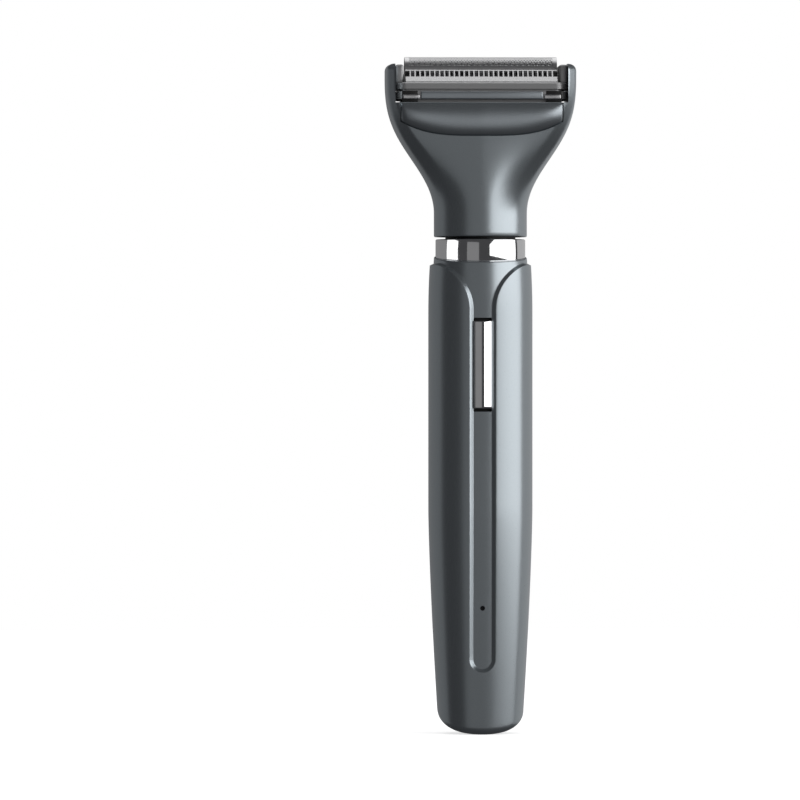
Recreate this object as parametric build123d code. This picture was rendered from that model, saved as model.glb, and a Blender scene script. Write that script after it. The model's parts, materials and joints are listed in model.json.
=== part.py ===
"""Cordless body shaver: a tapered grip with a press bar, and a pull-off head with a foil cartridge.

Millimetres. +Z runs up the grip, -Y is the front, and the origin lies under the grip's middle,
level with the lowest point of the slanted base.
"""

import math
import os

from build123d import *

# Grip shell: a one-piece cup with a slanted base
GRIP_WIDTH = 25.5  # across X where the grip is fullest
GRIP_DEPTH = 28.0  # along Y where the grip is fullest
GRIP_SQUARENESS = 2.25  # superellipse exponent of the grip's sections
BASE_WIDTH = 20.4  # across X, level with the origin
TAPER_HEIGHT = 55.0  # below this the grip narrows towards the base
TAPER_POWER = 1.4
TOP_NARROWING = 0.35  # per side, at the jacket's top edge
TOP_TAPER = 11.6  # height over which the jacket narrows
SHELL_WALL = 2.0
BASE_WALL = 2.2
BASE_SLOPE = 0.43  # rise per millimetre of depth, lowest at the front
BASE_EDGE = 1.8  # rounding of the base's edge
GRIP_STEP = 9.0  # between the sections that carry the grip's surface
JACKET_HEIGHT = 114.6  # top edge of the outer jacket, where the step to the rim starts
RECESS_DEPTH = 0.8  # step from the jacket down to the rim, the V and the channel
RIM_RISE = 2.0  # rim above the jacket's edge, on the axis
RIM_SLOPE = 0.1  # the rim is lower at the front

# Channel down the front, and the V that opens from it into the rim
CHANNEL_WIDTH = 4.7
CHANNEL_BOTTOM = 15.4
CHANNEL_TOP = 103.7  # where the V starts
LAMP_HEIGHT = 30.9
LAMP_RADIUS = 0.55

# Press bar
BAR_WIDTH = 4.3
BAR_LENGTH = 22.3
BAR_TOP = 101.4
BAR_TRAVEL = 0.6
BAR_PROUD = 0.55  # crest above the channel's floor
BAR_FLANGE = 0.6  # retaining flange beyond the bar, all round
BAR_FLANGE_THICKNESS = 0.7
SLOT_GAP = 0.1  # beside the bar
SLOT_END_GAP = 0.3  # above and below the bar

# Ring and spigot at the top of the grip
RING_RADIUS = 11.0
RING_WALL = 0.9
RING_REACH = 4.4  # ring above the rim, on the axis
RING_SEAT = 2.6  # ring below the rim, on the axis
HEAD_GAP = 0.6  # shadow gap between the ring and the neck
MOUTH_RADIUS = 10.5  # bore in the shell's top that takes the collar
MOUTH_DEPTH = 12.1
SPIGOT_RADIUS = 8.6
SPIGOT_HEIGHT = 5.4
CUP_RADIUS = 7.4
COLLAR_FLOOR = 7.0

# Drive
MOTOR_WIDTH = 20.4
MOTOR_THICKNESS = 15.4
MOTOR_LENGTH = 25.0
MOTOR_WALL = 0.8
SHAFT_RADIUS = 1.0
CAM_RADIUS = 3.2
CAM_HEIGHT = 4.0
CAM_THROW = 0.9
CAM_PIN_RADIUS = 0.75
CAM_PIN_LENGTH = 5.6
PIVOT_RISE = 13.9  # lever pivot above the neck's lower edge
PIVOT_RADIUS = 1.0
LEVER_THICKNESS = 2.6
LEVER_ARM = 2.4
LEVER_BALL_RADIUS = 1.4
LEVER_UPPER = 14.6  # pivot to the ball

# Battery, board and socket
CELL_RADIUS = 7.0
CELL_LENGTH = 50.0
CELL_BOTTOM = 22.5
CELL_SETBACK = 0.6
BOARD_WIDTH = 11.6
BOARD_THICKNESS = 1.0
BOARD_FRONT = 8.8  # distance of the board's face in front of the axis
BOARD_BOTTOM = 26.0
BOARD_TOP = 103.0
SOCKET_WIDTH = 8.94
SOCKET_HEIGHT = 3.26
SOCKET_LENGTH = 7.3
SOCKET_WALL = 0.3

# Head
NECK_RADIUS = 11.4
NECK_STRAIGHT = 5.7
FLARE_HEIGHT = 32.7
FLARE_LEAD = 0.17  # how much the flare opens early
HEAD_HEIGHT = 42.3
HEAD_WIDTH = 47.0
HEAD_DEPTH = 21.0
HEAD_SQUARENESS = 5.0
HEAD_WALL = 1.6
HEAD_STEP = 3.5  # between the sections that carry the head's surface
EAR_THICKNESS = 2.4
EAR_ROUNDING = 1.0
GUARD_LOW = 24.6  # heights above the neck's lower edge
GUARD_HIGH = 32.7
GUARD_PROUD = 0.5
GUARD_SEAT = 0.7  # depth of the pocket that the guard bar sits in
COUPLER_HEIGHT = 7.6
COUPLER_FLOOR = 1.6
DECK_HEIGHT = 24.9  # underside of the deck above the neck's lower edge
DECK_THICKNESS = 2.0
COLUMN_SPACING = 14.4
COLUMN_RADIUS = 1.7
SCREW_RADIUS = 0.8
SCREW_HEAD_RADIUS = 1.5
SCREW_HEAD_HEIGHT = 1.1

# Cutting parts
CARRIAGE_LENGTH = 26.0
CARRIAGE_DEPTH = 8.0
CARRIAGE_HEIGHT = 3.0
RAIL_HEIGHT = 1.9
RAIL_WIDTH = 1.2
FLOAT_TRAVEL = 0.8
BLOCK_GAP = 1.0
BLOCK_HEIGHT = 2.4
BLADE_COUNT = 26
BLADE_PITCH = 1.3
BLADE_THICKNESS = 0.3
SPRING_RADIUS = 1.15
SPRING_WIRE = 0.3
SPRING_POCKET = 1.0
SPRING_SPACING = 16.0
GUIDE_SPACING = 22.0
GUIDE_RADIUS = 0.7
FOIL_RADIUS = 3.6
FOIL_THICKNESS = 0.1
FOIL_LENGTH = 37.3
FOIL_END_GAP = 0.2  # foil to the frame's opening
CAP_END_GAP = 0.4  # foil to the end caps
FOIL_SKIRT = 2.2
FRAME_WALL = 1.4
FRAME_HEIGHT = 8.7
FRAME_CORNER = 3.0
COMB_THICKNESS = 0.35
COMB_PITCH = 1.35
COMB_SLOT = 0.6
TRIMMER_THICKNESS = 0.3
END_CAP_HEIGHT = 4.5
TRIM_BAR_RISE = 0.8  # above the guard bars
TRIM_BAR_HEIGHT = 1.9
TRIM_BAR_LENGTH = 29.8
TRIM_BAR_DEPTH = 0.6
TRIM_TAB_GAP = 0.3
TRIM_TAB_LENGTH = 4.1
TRIM_TAB_HEIGHT = 1.2

# Clearances
FIT = 0.05  # parts that seat in each other, per side
SLIDE = 0.1  # parts that slide past each other, per side
FREE = 0.3  # parts that pass with room, per side

# Places worked out from the sizes
depth_ratio = GRIP_DEPTH / GRIP_WIDTH
rim_z = JACKET_HEIGHT + RIM_RISE
ring_top = rim_z + RING_REACH
ring_bottom = rim_z - RING_SEAT
mouth_bottom = rim_z - MOUTH_DEPTH
collar_bottom = mouth_bottom + 0.5
cup_bottom = collar_bottom + COLLAR_FLOOR
spigot_top = ring_top + HEAD_GAP + SPIGOT_HEIGHT
neck_z = ring_top + HEAD_GAP
pivot_z = neck_z + PIVOT_RISE
ball_z = pivot_z + LEVER_UPPER
cam_z = cup_bottom + 1.0
cam_pin_top = cam_z + CAM_HEIGHT + CAM_PIN_LENGTH
fork_z = cam_z + CAM_HEIGHT + CAM_PIN_LENGTH * 0.6  # where the fork takes the pin
lever_swing = CAM_THROW / (pivot_z - fork_z)
stroke = lever_swing * LEVER_UPPER
deck_z = neck_z + DECK_HEIGHT
deck_top = deck_z + DECK_THICKNESS
carriage_z = deck_top + SLIDE
carriage_top = carriage_z + CARRIAGE_HEIGHT
block_z = carriage_top + BLOCK_GAP
frame_z = deck_top + RAIL_HEIGHT + SLIDE
frame_top = frame_z + FRAME_HEIGHT
frame_half_length = HEAD_WIDTH / 2 - EAR_THICKNESS - SLIDE
frame_half_depth = HEAD_DEPTH / 2 - HEAD_WALL - FREE
inner_half_depth = frame_half_depth - FRAME_WALL
foil_z = frame_top + 2.9
ear_top = neck_z + HEAD_HEIGHT
guard_z = neck_z + GUARD_HIGH


def grip_half_width(z):
    """Half of the grip's width at a height: full in the middle, narrower at the base and the top."""
    half = GRIP_WIDTH / 2
    if z < TAPER_HEIGHT:
        down = (TAPER_HEIGHT - z) / TAPER_HEIGHT
        return half - (GRIP_WIDTH - BASE_WIDTH) / 2 * down**TAPER_POWER
    up = max(0.0, z - (JACKET_HEIGHT - TOP_TAPER)) / TOP_TAPER
    return half - TOP_NARROWING * up**2


def superellipse(half_x, half_y, power, z, count=24):
    """A closed smooth outline in a level plane."""
    points = []
    for i in range(count):
        angle = 2 * math.pi * i / count
        c, s = math.cos(angle), math.sin(angle)
        x = math.copysign(half_x * abs(c) ** (2 / power), c)
        y = math.copysign(half_y * abs(s) ** (2 / power), s)
        points.append((x, y, z))
    return Wire([Edge.make_spline([Vector(*p) for p in points], periodic=True)])


def grip_body(inset, low, high):
    """The grip's outer form moved in by inset, between two heights."""
    levels = even_levels(low, high, GRIP_STEP)
    outlines = []
    for z in levels:
        half = grip_half_width(z)
        outlines.append(
            superellipse(half - inset, half * depth_ratio - inset, GRIP_SQUARENESS, z)
        )
    return Solid.make_loft(outlines)


def smooth(t):
    """Eased step from 0 to 1."""
    t = min(1.0, max(0.0, t))
    return t * t * (3 - 2 * t)


def flare_share(z):
    """How far the head has opened at a height, from 0 at the neck to 1 at the ears."""
    t = min(1.0, max(0.0, (z - neck_z - NECK_STRAIGHT) / FLARE_HEIGHT))
    return smooth(t + FLARE_LEAD * t * math.sin(math.pi * t))


def even_levels(low, high, step):
    """Evenly spaced heights from low to high, about a step apart."""
    count = max(1, round((high - low) / step))
    return [low + (high - low) * i / count for i in range(count + 1)]


def head_body(inset, low, high):
    """The head's outer form moved in by inset, between two heights."""
    outlines = []
    for z in even_levels(low, high, HEAD_STEP):
        share = flare_share(z)
        half_x = NECK_RADIUS + (HEAD_WIDTH / 2 - NECK_RADIUS) * share
        half_y = NECK_RADIUS + (HEAD_DEPTH / 2 - NECK_RADIUS) * share
        power = 2 + (HEAD_SQUARENESS - 2) * share
        outlines.append(superellipse(half_x - inset, half_y - inset, power, z))
    return Solid.make_loft(outlines)


def block(x, y, z):
    """A box from three (low, high) pairs."""
    size = [b - a for a, b in (x, y, z)]
    middle = [(a + b) / 2 for a, b in (x, y, z)]
    return Pos(*middle) * Box(*size)


def rod(radius, low, high, x=0.0, y=0.0):
    """A cylinder along Z between two heights."""
    return Pos(x, y, (low + high) / 2) * Cylinder(radius, high - low)


def cross_rod(radius, low, high, x, z):
    """A cylinder along Y between two depths."""
    return Pos(x, (low + high) / 2, z) * Rot(90, 0, 0) * Cylinder(radius, high - low)


def below_slope(height, slope, reach=80.0):
    """Everything under the plane z = height + slope * y."""
    angle = math.degrees(math.atan(slope))
    return Pos(0, 0, height) * Rot(angle, 0, 0) * Pos(0, 0, -reach / 2) * Box(reach, reach, reach)


def base_plane_z():
    """Height of the base's plane on the axis, so that its rounded front edge just reaches zero."""
    slant = math.atan(BASE_SLOPE)
    lean = math.atan((grip_half_width(1) - grip_half_width(0)) * depth_ratio)
    half_corner = (math.pi / 2 + lean - slant) / 2
    corner_z = -BASE_EDGE * (math.sin(slant + half_corner) / math.sin(half_corner) - 1)
    return corner_z + BASE_SLOPE * grip_half_width(corner_z) * depth_ratio


def front_y(z, inset=0.0):
    """Depth of the grip's front surface, moved in by inset, on the middle line at a height."""
    return -(grip_half_width(z) * depth_ratio - inset)


def recess_outline():
    """Outline, in X and Z, of the channel, the V and the step above the jacket's edge."""
    half = CHANNEL_WIDTH / 2
    arc = JACKET_HEIGHT - CHANNEL_TOP
    low = CHANNEL_BOTTOM + half
    side, top = GRIP_WIDTH, rim_z + GRIP_WIDTH
    wide = half + arc
    turn = arc * (1 - math.sqrt(0.5))
    rise = arc * math.sqrt(0.5)
    right_arc = ThreePointArc(
        (half, CHANNEL_TOP), (half + turn, CHANNEL_TOP + rise), (wide, JACKET_HEIGHT)
    )
    left_arc = ThreePointArc(
        (-wide, JACKET_HEIGHT), (-half - turn, CHANNEL_TOP + rise), (-half, CHANNEL_TOP)
    )
    edges = [
        right_arc,
        Polyline((wide, JACKET_HEIGHT), (side, JACKET_HEIGHT), (side, top)),
        Line((side, top), (-side, top)),
        Polyline((-side, top), (-side, JACKET_HEIGHT), (-wide, JACKET_HEIGHT)),
        left_arc,
        Line((-half, CHANNEL_TOP), (-half, low)),
        ThreePointArc((-half, low), (0, CHANNEL_BOTTOM), (half, low)),
        Line((half, low), (half, CHANNEL_TOP)),
    ]
    return make_face(edges)


def facing_front(face, near, far):
    """Extrudes a face drawn in X and Z between two depths, near being the smaller Y."""
    return extrude(Plane.XZ * face, amount=far - near).moved(Location((0, far, 0)))


def socket_frame():
    """Plane on the base at the charging socket: its Z points out of the grip."""
    out = Vector(0, BASE_SLOPE, -1).normalized()
    return Plane(origin=(0, 0, base_plane_z()), x_dir=(1, 0, 0), z_dir=out)


def oblong(width, height, low, high):
    """A slot-shaped prism in the socket's own frame, from depth low to high."""
    return extrude(socket_frame().offset(low) * SlotOverall(width, height), amount=high - low)


def grip_shell():
    """One-piece outer shell with the V, the channel, the bar's slot, the lamp hole and the port."""
    top = rim_z + 3.0
    skin = grip_body(0, -4, JACKET_HEIGHT + 4.0)
    skin = skin - below_slope(base_plane_z(), BASE_SLOPE)
    base_edges = skin.edges().sort_by(Axis.Z)[0:1]
    skin = fillet(base_edges, BASE_EDGE)
    floor = grip_body(RECESS_DEPTH, -4, top)
    front = facing_front(recess_outline(), -GRIP_DEPTH, 0)
    above = block((-GRIP_WIDTH, GRIP_WIDTH), (-0.1, GRIP_DEPTH), (JACKET_HEIGHT, top + GRIP_WIDTH))
    recess = (front + above) - floor
    shell = skin - recess
    shell = shell & below_slope(rim_z, RIM_SLOPE, 2 * rim_z)
    cavity = grip_body(SHELL_WALL, -4, mouth_bottom)
    inner_floor = base_plane_z() + BASE_WALL * math.hypot(1, BASE_SLOPE)
    cavity = cavity - below_slope(inner_floor, BASE_SLOPE)
    shell = shell - cavity - rod(MOUTH_RADIUS, mouth_bottom - 0.1, top + 2)
    shell = shell - rod(RING_RADIUS + SLIDE, ring_bottom, top + 2)
    slot_half = BAR_WIDTH / 2 + SLOT_GAP
    slot_z = (BAR_TOP - BAR_LENGTH - SLOT_END_GAP, BAR_TOP + SLOT_END_GAP)
    shell = shell - block((-slot_half, slot_half), (-GRIP_DEPTH, -GRIP_DEPTH / 4), slot_z)
    shell = shell - cross_rod(LAMP_RADIUS + FIT, -GRIP_DEPTH, -GRIP_DEPTH / 4, 0, LAMP_HEIGHT)
    port = oblong(SOCKET_WIDTH + 2 * FIT, SOCKET_HEIGHT + 2 * FIT, -2 * BASE_WALL, BASE_WALL)
    return shell - port


def charging_socket():
    """Metal shell of the charging socket, closed at its inner end."""
    outer = oblong(SOCKET_WIDTH, SOCKET_HEIGHT, -SOCKET_LENGTH, -0.2)
    inner = oblong(
        SOCKET_WIDTH - 2 * SOCKET_WALL, SOCKET_HEIGHT - 2 * SOCKET_WALL, -SOCKET_LENGTH + 0.8, 0.5
    )
    return outer - inner


def socket_tongue():
    """Contact tongue inside the socket."""
    width, thickness = 6.6, 0.7
    root = socket_frame().offset(-SOCKET_LENGTH + 0.8)
    return extrude(root * Rectangle(width, thickness), amount=SOCKET_LENGTH - 2.2)


def socket_gasket():
    """Rubber ring that seals the socket behind the base."""
    face = -BASE_WALL - FIT
    outer = oblong(SOCKET_WIDTH + 3.0, SOCKET_HEIGHT + 3.0, face - 1.2, face)
    return outer - oblong(SOCKET_WIDTH + 2 * FIT, SOCKET_HEIGHT + 2 * FIT, face - 2, face + 1)


def socket_board():
    """Small board that carries the socket, parallel to the socket's length."""
    lift = SOCKET_HEIGHT / 2 + 0.5
    root = socket_frame().offset(-SOCKET_LENGTH - 1.0)
    outline = Pos(0, lift) * Rectangle(SOCKET_WIDTH + 2.0, 0.8)
    return extrude(root * outline, amount=SOCKET_LENGTH - BASE_WALL - 1.2)


def chrome_ring():
    """Polished ring between the grip and the head."""
    return rod(RING_RADIUS, ring_bottom, ring_top) - rod(
        RING_RADIUS - RING_WALL, ring_bottom - 1, ring_top + 1
    )


def motor_screw_places():
    """X of each screw that holds the motor."""
    return (-5.2, 5.2)


def collar():
    """Plug in the shell's mouth: carries the ring and the motor, and ends in the head's spigot."""
    body = rod(MOUTH_RADIUS - FIT, collar_bottom, ring_bottom)
    body = body + rod(RING_RADIUS - RING_WALL - FIT / 2, ring_bottom, neck_z - HEAD_GAP)
    body = body + rod(SPIGOT_RADIUS, neck_z - HEAD_GAP - 0.1, spigot_top)
    body = body - rod(CUP_RADIUS, cup_bottom, spigot_top + 1)
    body = body - rod(SHAFT_RADIUS + 1.6, collar_bottom - 1, cup_bottom + 1)
    body = body - rod(3.0 + FIT, collar_bottom - 1, collar_bottom + 1.6)
    for x in motor_screw_places():
        body = body - rod(1.0 + FIT, collar_bottom - 1, cup_bottom + 1, x)
    body = body - seal_groove(MOUTH_RADIUS - FIT + 1, MOUTH_RADIUS - 0.9, collar_bottom + 2.6, 1.3)
    body = body - seal_groove(SPIGOT_RADIUS + 1, SPIGOT_RADIUS - 0.6, spigot_top - 2.8, 1.0)
    return body


def seal_groove(outer, inner, low, height):
    """A square-section ring, used for grooves and for the seals in them."""
    return rod(outer, low, low + height) - rod(inner, low - 1, low + height + 1)


def collar_seal():
    """Ring seal between the collar and the shell."""
    return seal_groove(MOUTH_RADIUS - 0.01, MOUTH_RADIUS - 0.85, collar_bottom + 2.65, 1.2)


def spigot_seal():
    """Ring in the spigot's groove that grips the head's coupler."""
    return seal_groove(SPIGOT_RADIUS + 0.05, SPIGOT_RADIUS - 0.55, spigot_top - 2.75, 0.9)


def shaft_seal():
    """Rubber lip seal round the motor's shaft."""
    outer = SHAFT_RADIUS + 1.55
    low = collar_bottom + 1.8
    body = rod(outer, low, cup_bottom - 0.4)
    return body - rod(SHAFT_RADIUS + FIT, low - 1, cup_bottom + 1)


def motor_prism(inset, low, high):
    """The motor's flat-sided round form moved in by inset."""
    flat = MOTOR_THICKNESS / 2 - inset
    round_part = rod(MOTOR_WIDTH / 2 - inset, low, high)
    return round_part & block((-MOTOR_WIDTH, MOTOR_WIDTH), (-flat, flat), (low, high))


def motor_can():
    """Steel can of the motor, open at its rear."""
    low = collar_bottom - MOTOR_LENGTH
    can = motor_prism(0, low, collar_bottom)
    can = can - motor_prism(MOTOR_WALL, low - 1, collar_bottom - MOTOR_WALL)
    boss = rod(3.0, collar_bottom, collar_bottom + 1.5)
    can = can + boss
    for x in motor_screw_places():
        can = can - rod(1.0 + FIT, collar_bottom - 2, collar_bottom + 1, x)
    return can - rod(SHAFT_RADIUS + FIT, low, collar_bottom + 3)


def motor_end_bell():
    """Plastic rear cover of the motor."""
    low = collar_bottom - MOTOR_LENGTH
    bell = motor_prism(MOTOR_WALL + FIT, low, low + 3.0)
    return bell - rod(SHAFT_RADIUS + FIT, low + 1.0, low + 4)


def motor_magnets():
    """Two curved magnets inside the can."""
    low = collar_bottom - MOTOR_LENGTH + 4.0
    outer = motor_prism(MOTOR_WALL + FIT, low, collar_bottom - 3.0)
    outer = outer - rod(MOTOR_THICKNESS / 2 - MOTOR_WALL - 0.5, low - 1, collar_bottom)
    gap = block((-4, 4), (-MOTOR_WIDTH, MOTOR_WIDTH), (low - 1, collar_bottom))
    return outer - gap


def motor_terminals():
    """Two solder tags at the motor's rear."""
    low = collar_bottom - MOTOR_LENGTH
    return [block((x - 1.0, x + 1.0), (-0.2, 0.2), (low - 2.0, low)) for x in (-5.0, 5.0)]


def motor_screws():
    """Two screws from the cup's floor into the motor's face."""
    screws = []
    for x in motor_screw_places():
        shank = rod(1.0, collar_bottom - 1.5, cup_bottom + 0.2, x)
        head = rod(1.6, cup_bottom, cup_bottom + 0.8, x)
        drive = block((x - 1.1, x + 1.1), (-0.2, 0.2), (cup_bottom + 0.4, cup_bottom + 1))
        screws.append(shank + head - drive)
    return screws


def motor_shaft():
    """Steel shaft through the motor and the collar."""
    return rod(SHAFT_RADIUS, collar_bottom - MOTOR_LENGTH + 1.2, cam_z + CAM_HEIGHT - 0.5)


def armature():
    """Wound core on the shaft."""
    low, high = collar_bottom - MOTOR_LENGTH + 5.0, collar_bottom - 4.0
    radius = MOTOR_THICKNESS / 2 - MOTOR_WALL - 0.5 - 0.4
    core = rod(radius, low, high)
    for i in range(3):
        slot = block((radius - 2.2, radius + 1), (-0.6, 0.6), (low - 1, high + 1))
        core = core - Rot(0, 0, 120 * i + 60) * slot
    return core - rod(SHAFT_RADIUS, low - 1, high + 1)


def cam():
    """Hub on the shaft with the off-centre pin that drives the lever's fork."""
    hub = rod(CAM_RADIUS, cam_z, cam_z + CAM_HEIGHT)
    hub = hub - rod(SHAFT_RADIUS, cam_z - 1, cam_z + CAM_HEIGHT - 0.5)
    pin_low = cam_z + CAM_HEIGHT - 0.1
    return hub + rod(CAM_PIN_RADIUS, pin_low, cam_pin_top, 0, -CAM_THROW)


def bar_heights():
    """Lower and upper end of the press bar."""
    return BAR_TOP - BAR_LENGTH, BAR_TOP


def bar_back_y():
    """Depth of the flange's front, just behind the shell's wall."""
    return front_y(BAR_TOP, SHELL_WALL) + FREE + SLIDE


def press_bar():
    """Polished bar with a low roof-shaped face, and the flange that keeps it in its slot."""
    low, high = bar_heights()
    half = BAR_WIDTH / 2
    floor_y = front_y(BAR_TOP, RECESS_DEPTH)
    crest, eaves = floor_y - BAR_PROUD, floor_y - 0.15
    back = bar_back_y()
    profile = Polyline(
        (-half, back), (-half, eaves), (0, crest), (half, eaves), (half, back), close=True
    )
    bar = Pos(0, 0, low) * extrude(make_face(profile), amount=high - low)
    wide = half + BAR_FLANGE
    flange = block(
        (-wide, wide), (back, back + BAR_FLANGE_THICKNESS), (low - BAR_FLANGE, high + BAR_FLANGE)
    )
    return bar + flange


def switch_z():
    """Height of the switch behind the middle of the bar."""
    return BAR_TOP - BAR_LENGTH / 2


def bar_stem():
    """Nub behind the bar's flange that meets the switch."""
    start = bar_back_y() + BAR_FLANGE_THICKNESS
    return cross_rod(1.2, start, -BOARD_FRONT - 1.6, 0, switch_z())


def switch_plunger():
    """Plunger of the switch, which travels with the bar."""
    return cross_rod(0.9, -BOARD_FRONT - 1.55, -BOARD_FRONT - BAR_TRAVEL - 0.2, 0, switch_z())


def switch_body():
    """Switch on the board, with a well that its plunger drops into."""
    z = switch_z()
    body = block((-2.2, 2.2), (-BOARD_FRONT - 1.0, -BOARD_FRONT), (z - 2.2, z + 2.2))
    return body - cross_rod(0.9 + FIT, -BOARD_FRONT - 2, -BOARD_FRONT - 0.1, 0, z)


def bar_gasket():
    """Silicone frame behind the shell, round the bar's flange."""
    low, high = bar_heights()
    margin = BAR_FLANGE + FREE
    half = BAR_WIDTH / 2 + margin
    y_low = bar_back_y()
    depth = (y_low, y_low + BAR_FLANGE_THICKNESS)
    wall = 1.0
    outer = block((-half - wall, half + wall), depth, (low - margin - wall, high + margin + wall))
    inner = block((-half, half), (depth[0] - 1, depth[1] + 1), (low - margin, high + margin))
    return (outer - inner) & grip_body(SHELL_WALL + FIT, -4, mouth_bottom)


def circuit_board():
    """Long board in front of the cell and the motor."""
    half = BOARD_WIDTH / 2
    depth = (-BOARD_FRONT, -BOARD_FRONT + BOARD_THICKNESS)
    board = block((-half, half), depth, (BOARD_BOTTOM, BOARD_TOP))
    for z in board_screw_heights():
        board = board - cross_rod(0.85, depth[0] - 1, depth[1] + 1, 3.9, z)
    return board & grip_body(SHELL_WALL + FIT, BOARD_BOTTOM - 1, BOARD_TOP + 1)


def board_screw_heights():
    """Heights of the two screws that hold the board."""
    return BOARD_BOTTOM + 3.0, CELL_BOTTOM + CELL_LENGTH - 4.5


def board_screws():
    """Two small screws through the board into its carrier."""
    screws = []
    for z in board_screw_heights():
        shank = cross_rod(0.75, -BOARD_FRONT, -BOARD_FRONT + BOARD_THICKNESS + 0.7, 3.9, z)
        screws.append(shank + cross_rod(1.2, -BOARD_FRONT - 0.4, -BOARD_FRONT, 3.9, z))
    return screws


def board_carrier():
    """Plastic strip between the board and the cell."""
    back = CELL_SETBACK - CELL_RADIUS - FREE
    depth = (-BOARD_FRONT + BOARD_THICKNESS, back)
    half = BOARD_WIDTH / 2 - 0.5
    strip = block((-half, half), depth, (BOARD_BOTTOM - 1, CELL_BOTTOM + CELL_LENGTH - 0.2))
    for z in board_screw_heights():
        strip = strip - cross_rod(0.75, depth[0] - 1, depth[1] + 1, 3.9, z)
    return strip


def board_chips():
    """Charge controller, motor driver and two coils on the board."""
    face = -BOARD_FRONT
    places = ((0.0, 44.0, 2.5, 1.0), (-2.5, 56.0, 2.0, 0.9), (2.8, 56.0, 1.6, 1.4), (0, 66, 2.0, 1))
    chips = []
    for x, z, half, height in places:
        chips.append(block((x - half, x + half), (face - height, face), (z - half, z + half)))
    return chips


def lamp_chip():
    """Light-emitting chip behind the charge lamp's window."""
    return block(
        (-0.8, 0.8), (-BOARD_FRONT - 0.6, -BOARD_FRONT), (LAMP_HEIGHT - 0.8, LAMP_HEIGHT + 0.8)
    )


def lamp_window():
    """Clear rod from the lamp to the channel's floor."""
    face = front_y(LAMP_HEIGHT, RECESS_DEPTH) + 0.1
    return cross_rod(LAMP_RADIUS, face, -BOARD_FRONT - 0.65, 0, LAMP_HEIGHT)


def cell():
    """Cylindrical cell with its raised terminal."""
    body = rod(CELL_RADIUS, CELL_BOTTOM, CELL_BOTTOM + CELL_LENGTH - 1.0, 0, CELL_SETBACK)
    top = CELL_BOTTOM + CELL_LENGTH
    return body + rod(2.7, top - 1.1, top, 0, CELL_SETBACK)


def cell_tabs():
    """Nickel strips welded to the cell's two ends."""
    top = CELL_BOTTOM + CELL_LENGTH
    reach = (-BOARD_FRONT + BOARD_THICKNESS + 0.2, CELL_SETBACK + 2.0)
    return [
        block((-2.0, 2.0), reach, (top + 0.02, top + 0.2)),
        block((-2.0, 2.0), reach, (CELL_BOTTOM - 0.2, CELL_BOTTOM - 0.02)),
    ]


def chassis():
    """Trough behind the cell, with a spine that reaches up to the collar."""
    low, high = CELL_BOTTOM - 4.0, CELL_BOTTOM + CELL_LENGTH + 2.0
    wall = 1.2
    outer = grip_body(SHELL_WALL + FREE, low, high)
    inner = grip_body(SHELL_WALL + FREE + wall, low - 1, high + 1)
    rear = block((-GRIP_WIDTH, GRIP_WIDTH), (0, GRIP_DEPTH), (low, high))
    trough = (outer - inner) & rear
    floor = outer & block((-GRIP_WIDTH, GRIP_WIDTH), (-2.0, GRIP_DEPTH), (low, low + 1.5))
    shelf = outer & block(
        (-GRIP_WIDTH, GRIP_WIDTH), (CELL_SETBACK + 2.5, GRIP_DEPTH), (high - 1.4, high)
    )
    back = GRIP_DEPTH / 2 - SHELL_WALL - FREE - 0.1
    spine = block((-3.0, 3.0), (back - wall, back - 0.1), (high - 1.4, mouth_bottom - FIT))
    ribs = [
        block((-3.0, 3.0), (CELL_SETBACK + CELL_RADIUS + 0.2, back - 0.8), (z, z + 1.2))
        for z in (CELL_BOTTOM + 12, CELL_BOTTOM + CELL_LENGTH - 14)
    ]
    body = trough + floor + shelf + spine
    for rib in ribs:
        body = body + (rib & outer)
    return body


def lead(points, radius, bend):
    """An insulated lead along straight runs joined by tangent arcs."""
    path = FilletPolyline(*points, radius=bend)
    start = Plane(origin=path @ 0, z_dir=path % 0)
    return sweep(start * Circle(radius), path=path)


def leads(side):
    """Motor lead and cell lead on one side of the grip."""
    x = 5.0 * side
    low = collar_bottom - MOTOR_LENGTH
    board_back = -BOARD_FRONT + BOARD_THICKNESS + 0.1
    motor = lead(
        [(x, 0.9, low - 0.6), (x, 0.9, low - 3.6), (x, board_back, low - 3.6)], 0.5, 1.4
    )
    end = CELL_BOTTOM - 1.2
    socket_lead = lead(
        [
            (3.0 * side, -3.2, end),
            (3.0 * side, -3.2, end - 3.4),
            (3.0 * side, -7.2, end - 3.4),
            (3.0 * side, -7.2, end + 2.0),
        ],
        0.5,
        1.3,
    )
    return [motor, socket_lead]


def head_shell():
    """Flared outer shell of the head with an ear at each end of the cartridge."""
    wide = HEAD_WIDTH / 2 - EAR_THICKNESS
    shell = head_body(0, neck_z, ear_top)
    top_edges = shell.edges().filter_by(lambda e: e.center().Z > ear_top - 0.1)
    shell = fillet(top_edges, EAR_ROUNDING)
    bore_top = neck_z + COUPLER_HEIGHT + 0.8
    between = block((-wide, wide), (-HEAD_DEPTH, HEAD_DEPTH), (neck_z - 1, ear_top + 10))
    shell = shell - (head_body(HEAD_WALL, bore_top - 0.1, ear_top + 5) & between)
    shell = shell - rod(NECK_RADIUS - HEAD_WALL, neck_z - 1, bore_top)
    window = block((-wide, wide), (-HEAD_DEPTH, HEAD_DEPTH), (guard_z, ear_top + 10))
    seat = cartridge_prism(SLIDE, frame_z - SLIDE, guard_z + 1)
    shell = shell - window - seat
    for side in (-1, 1):
        shell = shell - guard_prism(side, FIT)
    return shell


def cartridge_prism(extra, low, high):
    """The cartridge frame's outer form, grown by extra."""
    outline = RectangleRounded(
        2 * (frame_half_length + extra), 2 * (frame_half_depth + extra), FRAME_CORNER + extra
    )
    return Pos(0, 0, low) * extrude(outline, amount=high - low)


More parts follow.
